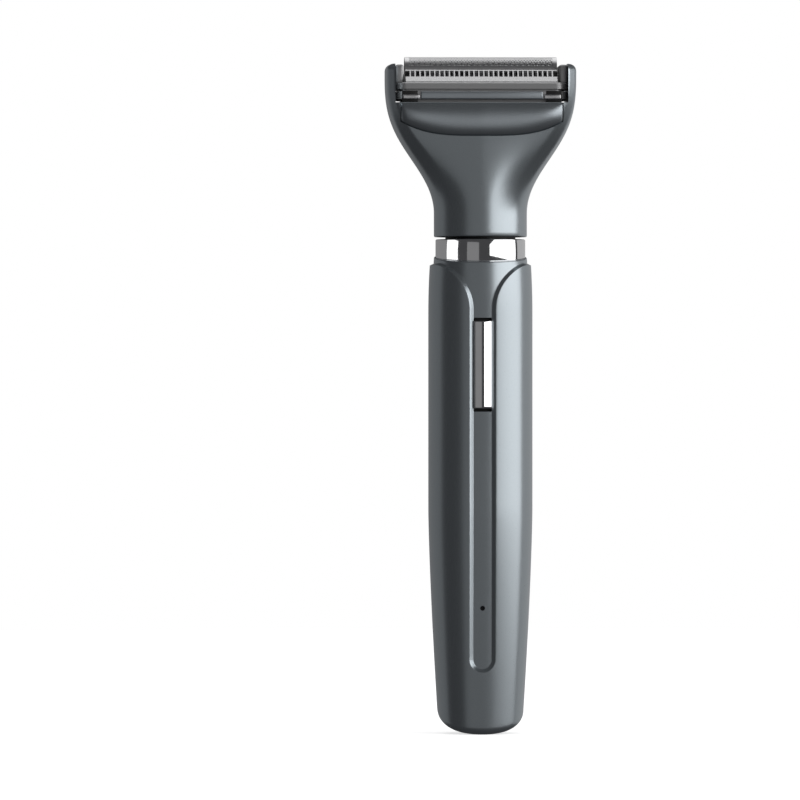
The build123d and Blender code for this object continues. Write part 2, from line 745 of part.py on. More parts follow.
def guard_prism(side, extra):
    """Prism, on the front or the rear, that the guard bar fills."""
    half = HEAD_WIDTH / 2 - EAR_THICKNESS - 0.2 + extra
    low, high = neck_z + GUARD_LOW - extra, guard_z + extra
    shoulder = low + (high - low) * 0.4
    edges = [
        Line((-half, high), (half, high)),
        Line((half, high), (half - 1.2, shoulder)),
        ThreePointArc((half - 1.2, shoulder), (0, low), (-half + 1.2, shoulder)),
        Line((-half + 1.2, shoulder), (-half, high)),
    ]
    prism = facing_front(make_face(edges), -HEAD_DEPTH, -HEAD_DEPTH / 2 + GUARD_SEAT + extra)
    return prism if side < 0 else Rot(0, 0, 180) * prism


def guard_bar(side):
    """Rounded bar that stretches the skin beside the cartridge."""
    low = neck_z + NECK_STRAIGHT + 8.0
    solid_form = head_body(-GUARD_PROUD, low, ear_top)
    return solid_form & guard_prism(side, 0)


def coupler():
    """Bush in the neck that fits over the spigot, with the lever's posts and the deck's columns."""
    low, high = neck_z, neck_z + COUPLER_HEIGHT
    body = rod(NECK_RADIUS - HEAD_WALL - FIT, low, high)
    body = body - rod(SPIGOT_RADIUS + SLIDE, low - 1, high - COUPLER_FLOOR)
    gap = LEVER_THICKNESS / 2 + FREE
    post = 1.8
    for side in (-1, 1):
        near, far = sorted((side * gap, side * (gap + post)))
        body = body + block((-2.6, 2.6), (near, far), (high - 0.5, pivot_z + 2.4))
        x = side * COLUMN_SPACING / 2
        body = body + rod(COLUMN_RADIUS, high - 0.5, deck_z, x)
        body = body - rod(SCREW_RADIUS + FIT, deck_z - 9.0, deck_z + 1, x)
    slot = 4.9
    body = body - block((-slot, slot), (-gap, gap), (high - COUPLER_FLOOR - 1, high + 1))
    return body - cross_rod(PIVOT_RADIUS + FIT / 2, -10, 10, 0, pivot_z)


def pivot_pin():
    """Steel pin that the lever turns on."""
    reach = LEVER_THICKNESS / 2 + FREE + 1.8 + 0.4
    return cross_rod(PIVOT_RADIUS, -reach, reach, 0, pivot_z)


def deck():
    """Plate under the cartridge, with the carriage's rails and the lever's slot."""
    plate = head_body(HEAD_WALL + FIT, deck_z - 2, deck_top + 4)
    plate = plate & block((-HEAD_WIDTH, HEAD_WIDTH), (-HEAD_DEPTH, HEAD_DEPTH), (deck_z, deck_top))
    for side in (-1, 1):
        near = side * (CARRIAGE_DEPTH / 2 + SLIDE)
        far = near + side * RAIL_WIDTH
        rail = block((-16, 16), sorted((near, far)), (deck_top - 0.2, deck_top + RAIL_HEIGHT))
        plate = plate + rail
        x = side * COLUMN_SPACING / 2
        plate = plate - rod(SCREW_RADIUS + FIT, deck_z - 1, deck_top + 1, x)
        head_low = deck_top - SCREW_HEAD_HEIGHT - FIT
        plate = plate - rod(SCREW_HEAD_RADIUS + FIT, head_low, deck_top + 1, x)
    reach = LEVER_ARM / 2 + stroke + FREE
    half = LEVER_THICKNESS / 2 + FREE
    return plate - block((-reach, reach), (-half, half), (deck_z - 1, deck_top + 1))


def deck_screws():
    """Two screws that clamp the deck to the coupler's columns."""
    screws = []
    for side in (-1, 1):
        x = side * COLUMN_SPACING / 2
        top = deck_top - FIT
        head = rod(SCREW_HEAD_RADIUS, top - SCREW_HEAD_HEIGHT + FIT, top, x)
        shank = rod(SCREW_RADIUS, deck_z - 8.0, top - 0.5, x)
        drive = block((x - 1.0, x + 1.0), (-0.2, 0.2), (top - 0.4, top + 1))
        screws.append(head + shank - drive)
    return screws


def drive_lever():
    """Lever with a fork over the cam's pin and a ball in the carriage."""
    half = LEVER_THICKNESS / 2
    arm = LEVER_ARM / 2
    fork_tip = cam_z + CAM_HEIGHT + 0.6
    fork_root = cam_pin_top + 0.6
    inner = CAM_PIN_RADIUS + CAM_THROW + lever_swing * (pivot_z - fork_tip) + SLIDE
    outer = inner + 1.2
    body = block((-arm, arm), (-half, half), (fork_root, ball_z - 0.6))
    body = body + cross_rod(2.3, -half, half, 0, pivot_z)
    body = body + block((-outer, outer), (-half, half), (fork_root, fork_root + 1.6))
    for side in (-1, 1):
        prong = sorted((side * inner, side * outer))
        body = body + block(prong, (-half, half), (fork_tip, fork_root + 0.2))
    body = body + Pos(0, 0, ball_z) * Sphere(LEVER_BALL_RADIUS)
    return body - cross_rod(PIVOT_RADIUS + FIT, -10, 10, 0, pivot_z)


def carriage():
    """Slide that the lever drives from side to side between the deck's rails."""
    half_x, half_y = CARRIAGE_LENGTH / 2, CARRIAGE_DEPTH / 2
    body = block((-half_x, half_x), (-half_y, half_y), (carriage_z, carriage_top))
    slot = LEVER_BALL_RADIUS + FIT
    body = body - block((-slot, slot), (-slot, slot), (carriage_z - 1, ball_z + 1.9))
    for side in (-1, 1):
        spring_x, guide_x = side * SPRING_SPACING / 2, side * GUIDE_SPACING / 2
        pocket_floor = carriage_top - SPRING_POCKET
        body = body - rod(SPRING_RADIUS + FREE, pocket_floor, carriage_top + 1, spring_x)
        body = body - rod(GUIDE_RADIUS + SLIDE, carriage_z - 1, carriage_top + 1, guide_x)
    return body


def block_springs():
    """Two coil springs that press the blade block up under the foil."""
    low = carriage_top - SPRING_POCKET + SPRING_WIRE / 2
    high = block_z + SPRING_POCKET - SPRING_WIRE / 2
    springs = []
    for side in (-1, 1):
        x = side * SPRING_SPACING / 2
        path = Helix(pitch=(high - low) / 4, height=high - low, radius=SPRING_RADIUS)
        path = path.moved(Location((x, 0, low)))
        start = Plane(origin=path @ 0, z_dir=path % 0)
        springs.append(sweep(start * Circle(SPRING_WIRE / 2), path=path, is_frenet=True))
    return springs


def blade_carrier():
    """Bar that holds the blades, with guide pins down into the carriage."""
    half = BLADE_COUNT * BLADE_PITCH / 2
    bar = block((-half, half), (-2.6, 2.6), (block_z, block_z + BLOCK_HEIGHT))
    for side in (-1, 1):
        spring_x, guide_x = side * SPRING_SPACING / 2, side * GUIDE_SPACING / 2
        pin_low = carriage_z + FLOAT_TRAVEL + SLIDE
        bar = bar + rod(GUIDE_RADIUS, pin_low, block_z + 0.2, guide_x)
        bar = bar - rod(SPRING_RADIUS + FREE, block_z - 1, block_z + SPRING_POCKET, spring_x)
    return bar


def inner_blades():
    """Row of half-round steel blades that run under the foil."""
    radius = FOIL_RADIUS - FOIL_THICKNESS - 0.08
    low = block_z + BLOCK_HEIGHT
    outline = make_face(
        [
            Polyline((-radius, foil_z), (-radius, foil_z - 1.2), (-2.2, low), (2.2, low)),
            Polyline((2.2, low), (radius, foil_z - 1.2), (radius, foil_z)),
            ThreePointArc((radius, foil_z), (0, foil_z + radius), (-radius, foil_z)),
        ]
    )
    blades = []
    for i in range(BLADE_COUNT):
        x = (i - (BLADE_COUNT - 1) / 2) * BLADE_PITCH
        blade = extrude(Plane.YZ * outline, amount=BLADE_THICKNESS)
        blades.append(Pos(x - BLADE_THICKNESS / 2, 0, 0) * blade)
    return blades


def comb_line():
    """Foot and direction, in Y and Z, of the rear comb's sloping inner face."""
    foot = Vector(-inner_half_depth - 0.1, frame_top)
    head = Vector(-FOIL_RADIUS - 0.9, foil_z + 0.1)
    return foot, head


def profile_along(points, low, high):
    """A closed profile in Y and Z, extruded along X."""
    face = make_face(Polyline(*points, close=True))
    return Pos(low, 0, 0) * extrude(Plane.YZ * face, amount=high - low)


def comb(side):
    """Fixed trimmer comb: a flange on the frame and a slotted slope up to the foil."""
    foot, head = comb_line()
    along = (head - foot).normalized()
    out = Vector(-along.Y, along.X)
    t = COMB_THICKNESS
    lip = Vector(-frame_half_depth + 0.3, frame_top)
    points = [lip, foot, head, head + out * t]
    knee_y = foot.X + (t - (foot + out * t - foot).Y) * along.X / along.Y + out.X * t
    points.append(Vector(knee_y, frame_top + t))
    points.append(lip + Vector(0, t))
    half = FOIL_LENGTH / 2 - 0.1
    plate = profile_along([(p.X, p.Y) for p in points], -half, half)
    count = int((2 * half - 2) / COMB_PITCH)
    for i in range(count):
        x = (i - (count - 1) / 2) * COMB_PITCH
        slot = block(
            (x - COMB_SLOT / 2, x + COMB_SLOT / 2),
            (foot.X + 0.6, head.X + 1),
            (frame_top - 1, foil_z + 2),
        )
        plate = plate - slot
    return plate if side < 0 else Rot(0, 0, 180) * plate


def trimmer_blade(side):
    """Moving toothed blade under a comb, on legs that stand on the carriage."""
    foot, head = comb_line()
    along = (head - foot).normalized()
    inward = Vector(along.Y, -along.X)
    near, far = 0.06, 0.06 + TRIMMER_THICKNESS
    reach = (head - foot).length - 0.3
    base = foot + along * 0.5
    points = [
        base + inward * near,
        foot + along * reach + inward * near,
        foot + along * reach + inward * far,
        base + inward * far,
    ]
    half = FOIL_LENGTH / 2 - stroke - 0.5
    blade = profile_along([(p.X, p.Y) for p in points], -half, half)
    count = int((2 * half - 2) / COMB_PITCH)
    for i in range(count):
        x = (i - (count - 1) / 2) * COMB_PITCH
        tooth_gap = block(
            (x - 0.35, x + 0.35), (base.X + 1.4, head.X + 2), (frame_top - 1, foil_z + 2)
        )
        blade = blade - tooth_gap
    leg_y = base.X + inward.X * near
    for x in (-9.0, 9.0):
        leg = block(
            (x - 1.5, x + 1.5), (leg_y, leg_y + 0.5), (carriage_top + 0.1, base.Y - 0.05)
        )
        shoe = block(
            (x - 1.5, x + 1.5), (leg_y, -CARRIAGE_DEPTH / 2 + 0.9), (carriage_top, carriage_top + 0.5)
        )
        blade = blade + leg + shoe
    return blade if side < 0 else Rot(0, 0, 180) * blade


def foil():
    """Thin arched foil with straight skirts."""
    half = FOIL_LENGTH / 2
    outer, inner = FOIL_RADIUS, FOIL_RADIUS - FOIL_THICKNESS
    low = foil_z - FOIL_SKIRT
    face = make_face(
        [
            Line((-outer, low), (-outer, foil_z)),
            ThreePointArc((-outer, foil_z), (0, foil_z + outer), (outer, foil_z)),
            Polyline((outer, foil_z), (outer, low), (inner, low), (inner, foil_z)),
            ThreePointArc((inner, foil_z), (0, foil_z + inner), (-inner, foil_z)),
            Polyline((-inner, foil_z), (-inner, low), (-outer, low)),
        ]
    )
    return Pos(-half, 0, 0) * extrude(Plane.YZ * face, amount=FOIL_LENGTH)


def cartridge_frame():
    """Rounded frame that lifts out of the head, with bars beside the foil's skirts."""
    frame = cartridge_prism(0, frame_z, frame_top)
    opening = block(
        (-FOIL_LENGTH / 2 - FOIL_END_GAP, FOIL_LENGTH / 2 + FOIL_END_GAP),
        (-inner_half_depth, inner_half_depth),
        (frame_z - 1, frame_top + 1),
    )
    frame = frame - opening
    for side in (-1, 1):
        near = side * (FOIL_RADIUS + FIT)
        bar_y = sorted((near, near + side * 0.5))
        reach = FOIL_LENGTH / 2 + CAP_END_GAP
        frame = frame + block((-reach, reach), bar_y, (frame_top - 0.6, foil_z - 0.8))
    return frame


def end_caps():
    """Blocks at the cartridge's ends that hold the foil's ends."""
    caps = []
    for side in (-1, 1):
        near = side * (FOIL_LENGTH / 2 + CAP_END_GAP)
        far = side * frame_half_length
        low, high = frame_top + 0.01, frame_top + END_CAP_HEIGHT
        cap = block(sorted((near, far)), (-6.2, 6.2), (low, high))
        ends = cap.edges().filter_by(Axis.X).sort_by(Axis.Z)[-2:]
        caps.append(fillet(ends, 1.8))
    return caps


def trim_bar(side):
    """Narrow polished bar across the frame's face."""
    depth = (-frame_half_depth - TRIM_BAR_DEPTH, -frame_half_depth)
    low = guard_z + TRIM_BAR_RISE
    bar = block(
        (-TRIM_BAR_LENGTH / 2, TRIM_BAR_LENGTH / 2), depth, (low, low + TRIM_BAR_HEIGHT)
    )
    return bar if side < 0 else Rot(0, 0, 180) * bar


def trim_tabs():
    """Bright spring tabs at both ends of each trim bar."""
    tabs = []
    low = guard_z + TRIM_BAR_RISE
    for turn in (0, 180):
        for side in (-1, 1):
            near = side * (TRIM_BAR_LENGTH / 2 + TRIM_TAB_GAP)
            far = near + side * TRIM_TAB_LENGTH
            depth = (-frame_half_depth - TRIM_BAR_DEPTH, -frame_half_depth)
            tab = block(sorted((near, far)), depth, (low, low + TRIM_TAB_HEIGHT))
            tabs.append(Rot(0, 0, turn) * tab)
    return tabs


def save(name, shape):
    """Writes one node, from a solid or a list of solids."""
    parts = shape if isinstance(shape, list) else [shape]
    solids = [s for part in parts for s in part.solids()]
    whole = solids[0] if len(solids) == 1 else Compound(solids)
    export_step(whole, f"parts/{name}.step")


def main():
    """Builds every node."""
    os.makedirs("parts", exist_ok=True)
    nodes = {
        "grip_shell": grip_shell(),
        "charging_socket": charging_socket(),
        "socket_tongue": socket_tongue(),
        "socket_gasket": socket_gasket(),
        "socket_board": socket_board(),
        "chrome_ring": chrome_ring(),
        "collar": collar(),
        "collar_seal": collar_seal(),
        "spigot_seal": spigot_seal(),
        "shaft_seal": shaft_seal(),
        "motor_can": motor_can(),
        "motor_end_bell": motor_end_bell(),
        "motor_magnets": motor_magnets(),
        "motor_terminals": motor_terminals(),
        "motor_screws": motor_screws(),
        "motor_shaft": motor_shaft(),
        "armature": armature(),
        "cam": cam(),
        "press_bar": press_bar(),
        "bar_stem": bar_stem(),
        "switch_plunger": switch_plunger(),
        "switch_body": switch_body(),
        "bar_gasket": bar_gasket(),
        "circuit_board": circuit_board(),
        "board_screws": board_screws(),
        "board_carrier": board_carrier(),
        "board_chips": board_chips(),
        "lamp_chip": lamp_chip(),
        "lamp_window": lamp_window(),
        "cell": cell(),
        "cell_tabs": cell_tabs(),
        "chassis": chassis(),
        "red_leads": leads(1),
        "black_leads": leads(-1),
        "head_shell": head_shell(),
        "front_guard": guard_bar(-1),
        "rear_guard": guard_bar(1),
        "coupler": coupler(),
        "pivot_pin": pivot_pin(),
        "deck": deck(),
        "deck_screws": deck_screws(),
        "drive_lever": drive_lever(),
        "carriage": carriage(),
        "block_springs": block_springs(),
        "blade_carrier": blade_carrier(),
        "inner_blades": inner_blades(),
        "front_trimmer_blade": trimmer_blade(-1),
        "rear_trimmer_blade": trimmer_blade(1),
        "front_comb": comb(-1),
        "rear_comb": comb(1),
        "foil": foil(),
        "cartridge_frame": cartridge_frame(),
        "end_caps": end_caps(),
        "front_trim_bar": trim_bar(-1),
        "rear_trim_bar": trim_bar(1),
        "trim_tabs": trim_tabs(),
    }
    for name, shape in nodes.items():
        save(name, shape)
    print("nodes", len(nodes))
    print("lever swing in degrees", math.degrees(lever_swing), "carriage stroke", stroke)
    print("heights: lever pivot", pivot_z, "base plane on the axis", base_plane_z())


main()
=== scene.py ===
"""Cordless body shaver: the looks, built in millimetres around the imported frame."""

import json
import logging
import math
from dataclasses import dataclass, field
from enum import Enum
from typing import Any, Callable, Sequence

import bmesh
import bpy
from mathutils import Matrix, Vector


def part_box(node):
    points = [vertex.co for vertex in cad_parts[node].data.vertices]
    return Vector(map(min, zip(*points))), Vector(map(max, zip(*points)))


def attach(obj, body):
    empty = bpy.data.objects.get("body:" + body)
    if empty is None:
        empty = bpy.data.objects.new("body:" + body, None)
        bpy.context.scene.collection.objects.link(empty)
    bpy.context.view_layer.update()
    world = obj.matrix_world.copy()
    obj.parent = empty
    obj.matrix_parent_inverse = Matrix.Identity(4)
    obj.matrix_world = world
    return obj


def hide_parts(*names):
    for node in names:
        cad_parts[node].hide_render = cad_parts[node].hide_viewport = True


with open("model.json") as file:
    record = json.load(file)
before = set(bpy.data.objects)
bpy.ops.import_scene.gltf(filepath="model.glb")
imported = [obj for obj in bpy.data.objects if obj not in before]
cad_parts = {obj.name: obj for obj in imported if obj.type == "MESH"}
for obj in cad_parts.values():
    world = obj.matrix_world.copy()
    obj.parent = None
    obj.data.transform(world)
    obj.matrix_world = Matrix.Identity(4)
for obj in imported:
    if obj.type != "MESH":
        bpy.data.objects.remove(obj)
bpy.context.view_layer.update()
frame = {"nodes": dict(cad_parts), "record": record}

logging.basicConfig(level=logging.INFO, format="%(message)s")
log = logging.getLogger("shaver")

MM = 0.001
WELD = 0.004 * MM
SOFT_ANGLE = 32.0
HEAD_SOFT_ANGLE = 24.0
CRISP_BOX_ANGLE = 40.0
CLEAR_TRANSMISSION = 0.1
BASE_STEPS = 12

Point = tuple[float, float, float]
Colour = tuple[float, float, float]


def smooth(share: float) -> float:
    """Eased step from 0 to 1."""
    share = min(1.0, max(0.0, share))
    return share * share * (3 - 2 * share)


def mix(low: float, high: float, share: float) -> float:
    """The value a share of the way from low to high."""
    return low + (high - low) * share


def spread(low: float, high: float, count: int) -> list[float]:
    """Evenly spaced values from low to high.

    Args:
        low: First value.
        high: Last value.
        count: Number of steps between them.

    Returns:
        count + 1 values.
    """
    return [mix(low, high, i / count) for i in range(count + 1)]


def full_turn(count: int) -> list[float]:
    """Evenly spaced angles round a circle."""
    return [2 * math.pi * i / count for i in range(count)]


def node_span(node: str) -> tuple[Vector, Vector]:
    """Lowest and highest corner of a CAD node, in millimetres."""
    low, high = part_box(node)
    return low / MM, high / MM


class Pattern(Enum):
    """How a finish varies over its surface."""

    FLAKE = "fine metallic flake"
    BRUSHED = "fine parallel scratches"
    POLISHED = "polish with faint smears"
    MOULDED = "fine moulded texture"
    WOUND = "turns of enamelled wire"
    PRINTED = "lacquered board with traces"
    CLEAR = "clear plastic"


@dataclass(frozen=True)
class Finish:
    """One finish, with its colours and the way it varies.

    Attributes:
        name: Name of the material.
        colour: Main colour, linear.
        second: Colour of the darker or lighter specks.
        metallic: 0 for plastic, 1 for bare metal.
        roughness: Middle of the roughness.
        swing: How far the roughness varies each way.
        pattern: Kind of variation.
        grain: Size of the variation in millimetres.
        relief: Height of the bumps in millimetres.
        coat: Weight of the clear coat.
        coat_roughness: Roughness of the clear coat.
        glow: Strength of its own light.
    """

    name: str
    colour: Colour
    second: Colour
    metallic: float = 0.0
    roughness: float = 0.5
    swing: float = 0.05
    pattern: Pattern = Pattern.MOULDED
    grain: float = 0.3
    relief: float = 0.004
    coat: float = 0.0
    coat_roughness: float = 0.1
    glow: float = 0.0

    def stretch(self) -> tuple[float, float, float]:
        """Scale of the pattern along X, Y and Z, per metre."""
        fine = 1 / (self.grain * MM)
        if self.pattern is Pattern.BRUSHED:
            return fine * 0.04, fine, fine
        if self.pattern is Pattern.WOUND:
            return fine * 0.3, fine * 0.3, fine
        return fine, fine, fine

    def material(self) -> bpy.types.Material:
        """Makes the material, or finds the one made before.

        Returns:
            The node-based material.
        """
        made = bpy.data.materials.get(self.name)
        if made:
            return made
        made = bpy.data.materials.new(self.name)
        made.use_nodes = True
        tree = made.node_tree
        shader = tree.nodes["Principled BSDF"]
        shader.inputs["Metallic"].default_value = self.metallic
        shader.inputs["Coat Weight"].default_value = self.coat
        shader.inputs["Coat Roughness"].default_value = self.coat_roughness
        if self.pattern is Pattern.CLEAR:
            shader.inputs["Transmission Weight"].default_value = CLEAR_TRANSMISSION
        if self.glow:
            shader.inputs["Emission Color"].default_value = (*self.colour, 1)
            shader.inputs["Emission Strength"].default_value = self.glow
        place = tree.nodes.new("ShaderNodeTexCoord")
        mapping = tree.nodes.new("ShaderNodeMapping")
        mapping.inputs["Scale"].default_value = self.stretch()
        tree.links.new(place.outputs["Object"], mapping.inputs["Vector"])
        noise = tree.nodes.new("ShaderNodeTexNoise")
        noise.inputs["Scale"].default_value = 1.0
        noise.inputs["Detail"].default_value = 3.0
        tree.links.new(mapping.outputs["Vector"], noise.inputs["Vector"])
        grey = self.field(tree, mapping, noise)
        ramp = tree.nodes.new("ShaderNodeValToRGB")
        ramp.color_ramp.elements[0].position = 0.3
        ramp.color_ramp.elements[1].position = 0.7
        ramp.color_ramp.elements[0].color = (*self.second, 1)
        ramp.color_ramp.elements[1].color = (*self.colour, 1)
        tree.links.new(grey, ramp.inputs["Fac"])
        tree.links.new(ramp.outputs["Color"], shader.inputs["Base Color"])
        rough = tree.nodes.new("ShaderNodeMapRange")
        rough.inputs["From Min"].default_value = 0.25
        rough.inputs["From Max"].default_value = 0.75
        rough.inputs["To Min"].default_value = max(0.02, self.roughness - self.swing)
        rough.inputs["To Max"].default_value = self.roughness + self.swing
        tree.links.new(noise.outputs["Fac"], rough.inputs["Value"])
        tree.links.new(rough.outputs["Result"], shader.inputs["Roughness"])
        if self.relief:
            bump = tree.nodes.new("ShaderNodeBump")
            bump.inputs["Strength"].default_value = 0.6
            bump.inputs["Distance"].default_value = self.relief * MM
            tree.links.new(grey, bump.inputs["Height"])
            tree.links.new(bump.outputs["Normal"], shader.inputs["Normal"])
        return made

    def field(
        self, tree: bpy.types.NodeTree, mapping: bpy.types.Node, noise: bpy.types.Node
    ) -> bpy.types.NodeSocket:
        """Adds what the pattern is drawn from.

        Args:
            tree: Tree of the material.
            mapping: Node that scales the coordinates.
            noise: Noise that every pattern has.

        Returns:
            A value from 0 to 1 over the surface.
        """
        if self.pattern is Pattern.WOUND:
            wave = tree.nodes.new("ShaderNodeTexWave")
            wave.bands_direction = "Z"
            wave.inputs["Scale"].default_value = 1.0
            wave.inputs["Distortion"].default_value = 1.5
            tree.links.new(mapping.outputs["Vector"], wave.inputs["Vector"])
            return wave.outputs["Fac"]
        if self.pattern is Pattern.PRINTED:
            cells = tree.nodes.new("ShaderNodeTexVoronoi")
            cells.feature = "DISTANCE_TO_EDGE"
            cells.distance = "MANHATTAN"
            cells.inputs["Scale"].default_value = 0.4
            tree.links.new(mapping.outputs["Vector"], cells.inputs["Vector"])
            sharp = tree.nodes.new("ShaderNodeMapRange")
            sharp.inputs["From Min"].default_value = 0.08
            sharp.inputs["From Max"].default_value = 0.16
            tree.links.new(cells.outputs["Distance"], sharp.inputs["Value"])
            return sharp.outputs["Result"]
        return noise.outputs["Fac"]


def grey_pair(level: float, ratio: float = 0.85) -> tuple[Colour, Colour]:
    """A neutral colour and its darker neighbour."""
    return (level, level, level * 1.01), (level * ratio, level * ratio, level * ratio * 1.01)


FINISHES: dict[str, Finish] = {
    "shell_metallic": Finish(
        "satin_gunmetal", (0.41, 0.45, 0.475), (0.37, 0.41, 0.435), metallic=0.9, roughness=0.3,
        swing=0.03, pattern=Pattern.FLAKE, grain=0.16, relief=0.0012,
    ),
    "guard_metallic": Finish(
        "fine_gunmetal", (0.375, 0.41, 0.435), (0.335, 0.365, 0.39), metallic=0.9, roughness=0.34,
        swing=0.04, pattern=Pattern.FLAKE, grain=0.2, relief=0.0015,
    ),
    "bright_chrome": Finish(
        "polished_chrome", *grey_pair(0.82, 0.97), metallic=1.0, roughness=0.07, swing=0.02,
        pattern=Pattern.POLISHED, grain=2.5, relief=0.0,
    ),
    "brushed_bright": Finish(
        "brushed_steel", *grey_pair(0.62, 0.88), metallic=1.0, roughness=0.28, swing=0.05,
        pattern=Pattern.BRUSHED, grain=0.08, relief=0.0004,
    ),
    "foil_steel": Finish(
        "foil_sheet", *grey_pair(0.6, 0.9), metallic=1.0, roughness=0.36, swing=0.04,
        pattern=Pattern.BRUSHED, grain=0.12, relief=0.0003,
    ),
    "dark_plastic": Finish(
        "dark_moulding", *grey_pair(0.02, 0.8), roughness=0.5, grain=0.25, relief=0.006
    ),
    "grey_plastic": Finish(
        "grey_moulding", *grey_pair(0.36, 0.9), metallic=0.6, roughness=0.36, grain=0.2,
        relief=0.002,
    ),
    "natural_plastic": Finish(
        "natural_acetal", (0.62, 0.6, 0.54), (0.55, 0.53, 0.47), roughness=0.38, grain=0.5,
        relief=0.003,
    ),
    "seal_rubber": Finish(
        "black_rubber", *grey_pair(0.012, 0.7), roughness=0.72, grain=0.12, relief=0.006
    ),
    "steel": Finish(
        "drawn_steel", *grey_pair(0.55, 0.85), metallic=1.0, roughness=0.24, swing=0.05,
        pattern=Pattern.BRUSHED, grain=0.1, relief=0.001,
    ),
    "copper": Finish(
        "enamelled_copper", (0.6, 0.2, 0.07), (0.22, 0.06, 0.02), metallic=0.9, roughness=0.3,
        pattern=Pattern.WOUND, grain=0.35, relief=0.05,
    ),
    "contact_brass": Finish(
        "sprung_brass", (0.68, 0.47, 0.18), (0.5, 0.33, 0.12), metallic=1.0, roughness=0.28,
        pattern=Pattern.BRUSHED, grain=0.15, relief=0.001,
    ),
    "board_green": Finish(
        "lacquered_board", (0.01, 0.09, 0.035), (0.03, 0.17, 0.06), roughness=0.32,
        pattern=Pattern.PRINTED, grain=1.2, relief=0.02, coat=0.4,
    ),
    "chip_black": Finish(
        "black_epoxy", *grey_pair(0.016, 0.75), roughness=0.45, grain=0.15, relief=0.004
    ),
    "cell_wrap": Finish(
        "blue_wrap", (0.03, 0.12, 0.32), (0.02, 0.09, 0.26), roughness=0.28, grain=3.0,
        relief=0.01, coat=0.3,
    ),
    "lamp_clear": Finish(
        "dark_lens", (0.008, 0.009, 0.01), (0.006, 0.006, 0.007), roughness=0.15,
        pattern=Pattern.CLEAR, grain=0.5, relief=0.002,
    ),
    "lead_red": Finish(
        "red_lead_cover", (0.45, 0.02, 0.015), (0.36, 0.015, 0.01), roughness=0.45, grain=0.4
    ),
    "lead_black": Finish(
        "black_lead_cover", *grey_pair(0.018, 0.7), roughness=0.45, grain=0.4
    ),
}


class Shell:
    """Rows of points and their faces, in millimetres, gathered before they become a mesh."""

    def __init__(self) -> None:
        """Starts with nothing."""
        self.points: list[Point] = []
        self.faces: list[tuple[int, ...]] = []

    def row(self, points: Sequence[Point]) -> list[int]:
        """Adds points and returns their numbers."""
        start = len(self.points)
        self.points.extend(points)
        return list(range(start, len(self.points)))

    def band(self, first: Sequence[int], second: Sequence[int], closed: bool = False) -> None:
        """Faces between two rows of equal length."""
        count = len(first)
        for i in range(count if closed else count - 1):
            j = (i + 1) % count
            self.faces.append((first[i], first[j], second[j], second[i]))

    def grid(self, rows: Sequence[Sequence[Point]], closed: bool = False) -> None:
        """Adds rows of points with faces from each row to the next.

        Args:
            rows: Rows of equal length.
            closed: True if each row's last point joins its first.
        """
        made = [self.row(points) for points in rows]
        for first, second in zip(made, made[1:]):
            self.band(first, second, closed)

    def tube(self, rows: Sequence[Sequence[Point]]) -> None:
        """Adds a solid through closed rows, capped at both ends."""
        start, count = len(self.points), len(rows[0])
        self.grid(rows, closed=True)
        last = start + (len(rows) - 1) * count
        self.faces.append(tuple(range(start, start + count)))
        self.faces.append(tuple(reversed(range(last, last + count))))

    def mirrored(self, axis: int) -> None:
        """Adds the image of everything on the other side of the plane across an axis."""
        start = len(self.points)
        for point in list(self.points):
            image = list(point)
            image[axis] = -image[axis]
            self.points.append(tuple(image))
        for face in list(self.faces):
            self.faces.append(tuple(start + i for i in reversed(face)))

    def build(self, name: str, soft_angle: float = SOFT_ANGLE) -> bpy.types.Object:
        """Makes the object, with its points welded and its faces turned outwards.

        Args:
            name: Name of the object.
            soft_angle: Edges sharper than this many degrees stay crisp.

        Returns:
            The new object at the origin.
        """
        mesh = bpy.data.meshes.new(name)
        mesh.from_pydata([[c * MM for c in p] for p in self.points], [], self.faces)
        piece = bpy.data.objects.new(name, mesh)
        bpy.context.scene.collection.objects.link(piece)
        return tidy_mesh(piece, soft_angle)


def tidy_mesh(piece: bpy.types.Object, soft_angle: float = SOFT_ANGLE) -> bpy.types.Object:
    """Welds a mesh, drops empty faces, turns its faces outwards and shades it.

    Args:
        piece: Object whose mesh is tidied.
        soft_angle: Edges sharper than this many degrees stay crisp.

    Returns:
        The same object.
    """
    solid = bmesh.new()
    solid.from_mesh(piece.data)
    bmesh.ops.remove_doubles(solid, verts=solid.verts, dist=WELD)
    bmesh.ops.dissolve_degenerate(solid, edges=solid.edges, dist=WELD)
    bmesh.ops.recalc_face_normals(solid, faces=solid.faces)
    solid.to_mesh(piece.data)
    solid.free()
    piece.data.shade_smooth()
    piece.data.set_sharp_from_angle(angle=math.radians(soft_angle))
    return piece


def baked(piece: bpy.types.Object) -> bpy.types.Object:
    """Turns an object's modifiers into its mesh and removes them."""
    graph = bpy.context.evaluated_depsgraph_get()
    graph.update()
    mesh = bpy.data.meshes.new_from_object(piece.evaluated_get(graph), depsgraph=graph)
    piece.modifiers.clear()
    piece.data = mesh
    return piece


def cut(piece: bpy.types.Object, *cutters: bpy.types.Object) -> bpy.types.Object:
    """Takes the cutters out of a piece and removes them."""
    for cutter in cutters:
        step = piece.modifiers.new("cut", "BOOLEAN")
        step.operation = "DIFFERENCE"
        step.solver = "EXACT"
        step.object = cutter
    baked(piece)
    for cutter in cutters:
        bpy.data.objects.remove(cutter)
    return tidy_mesh(piece)


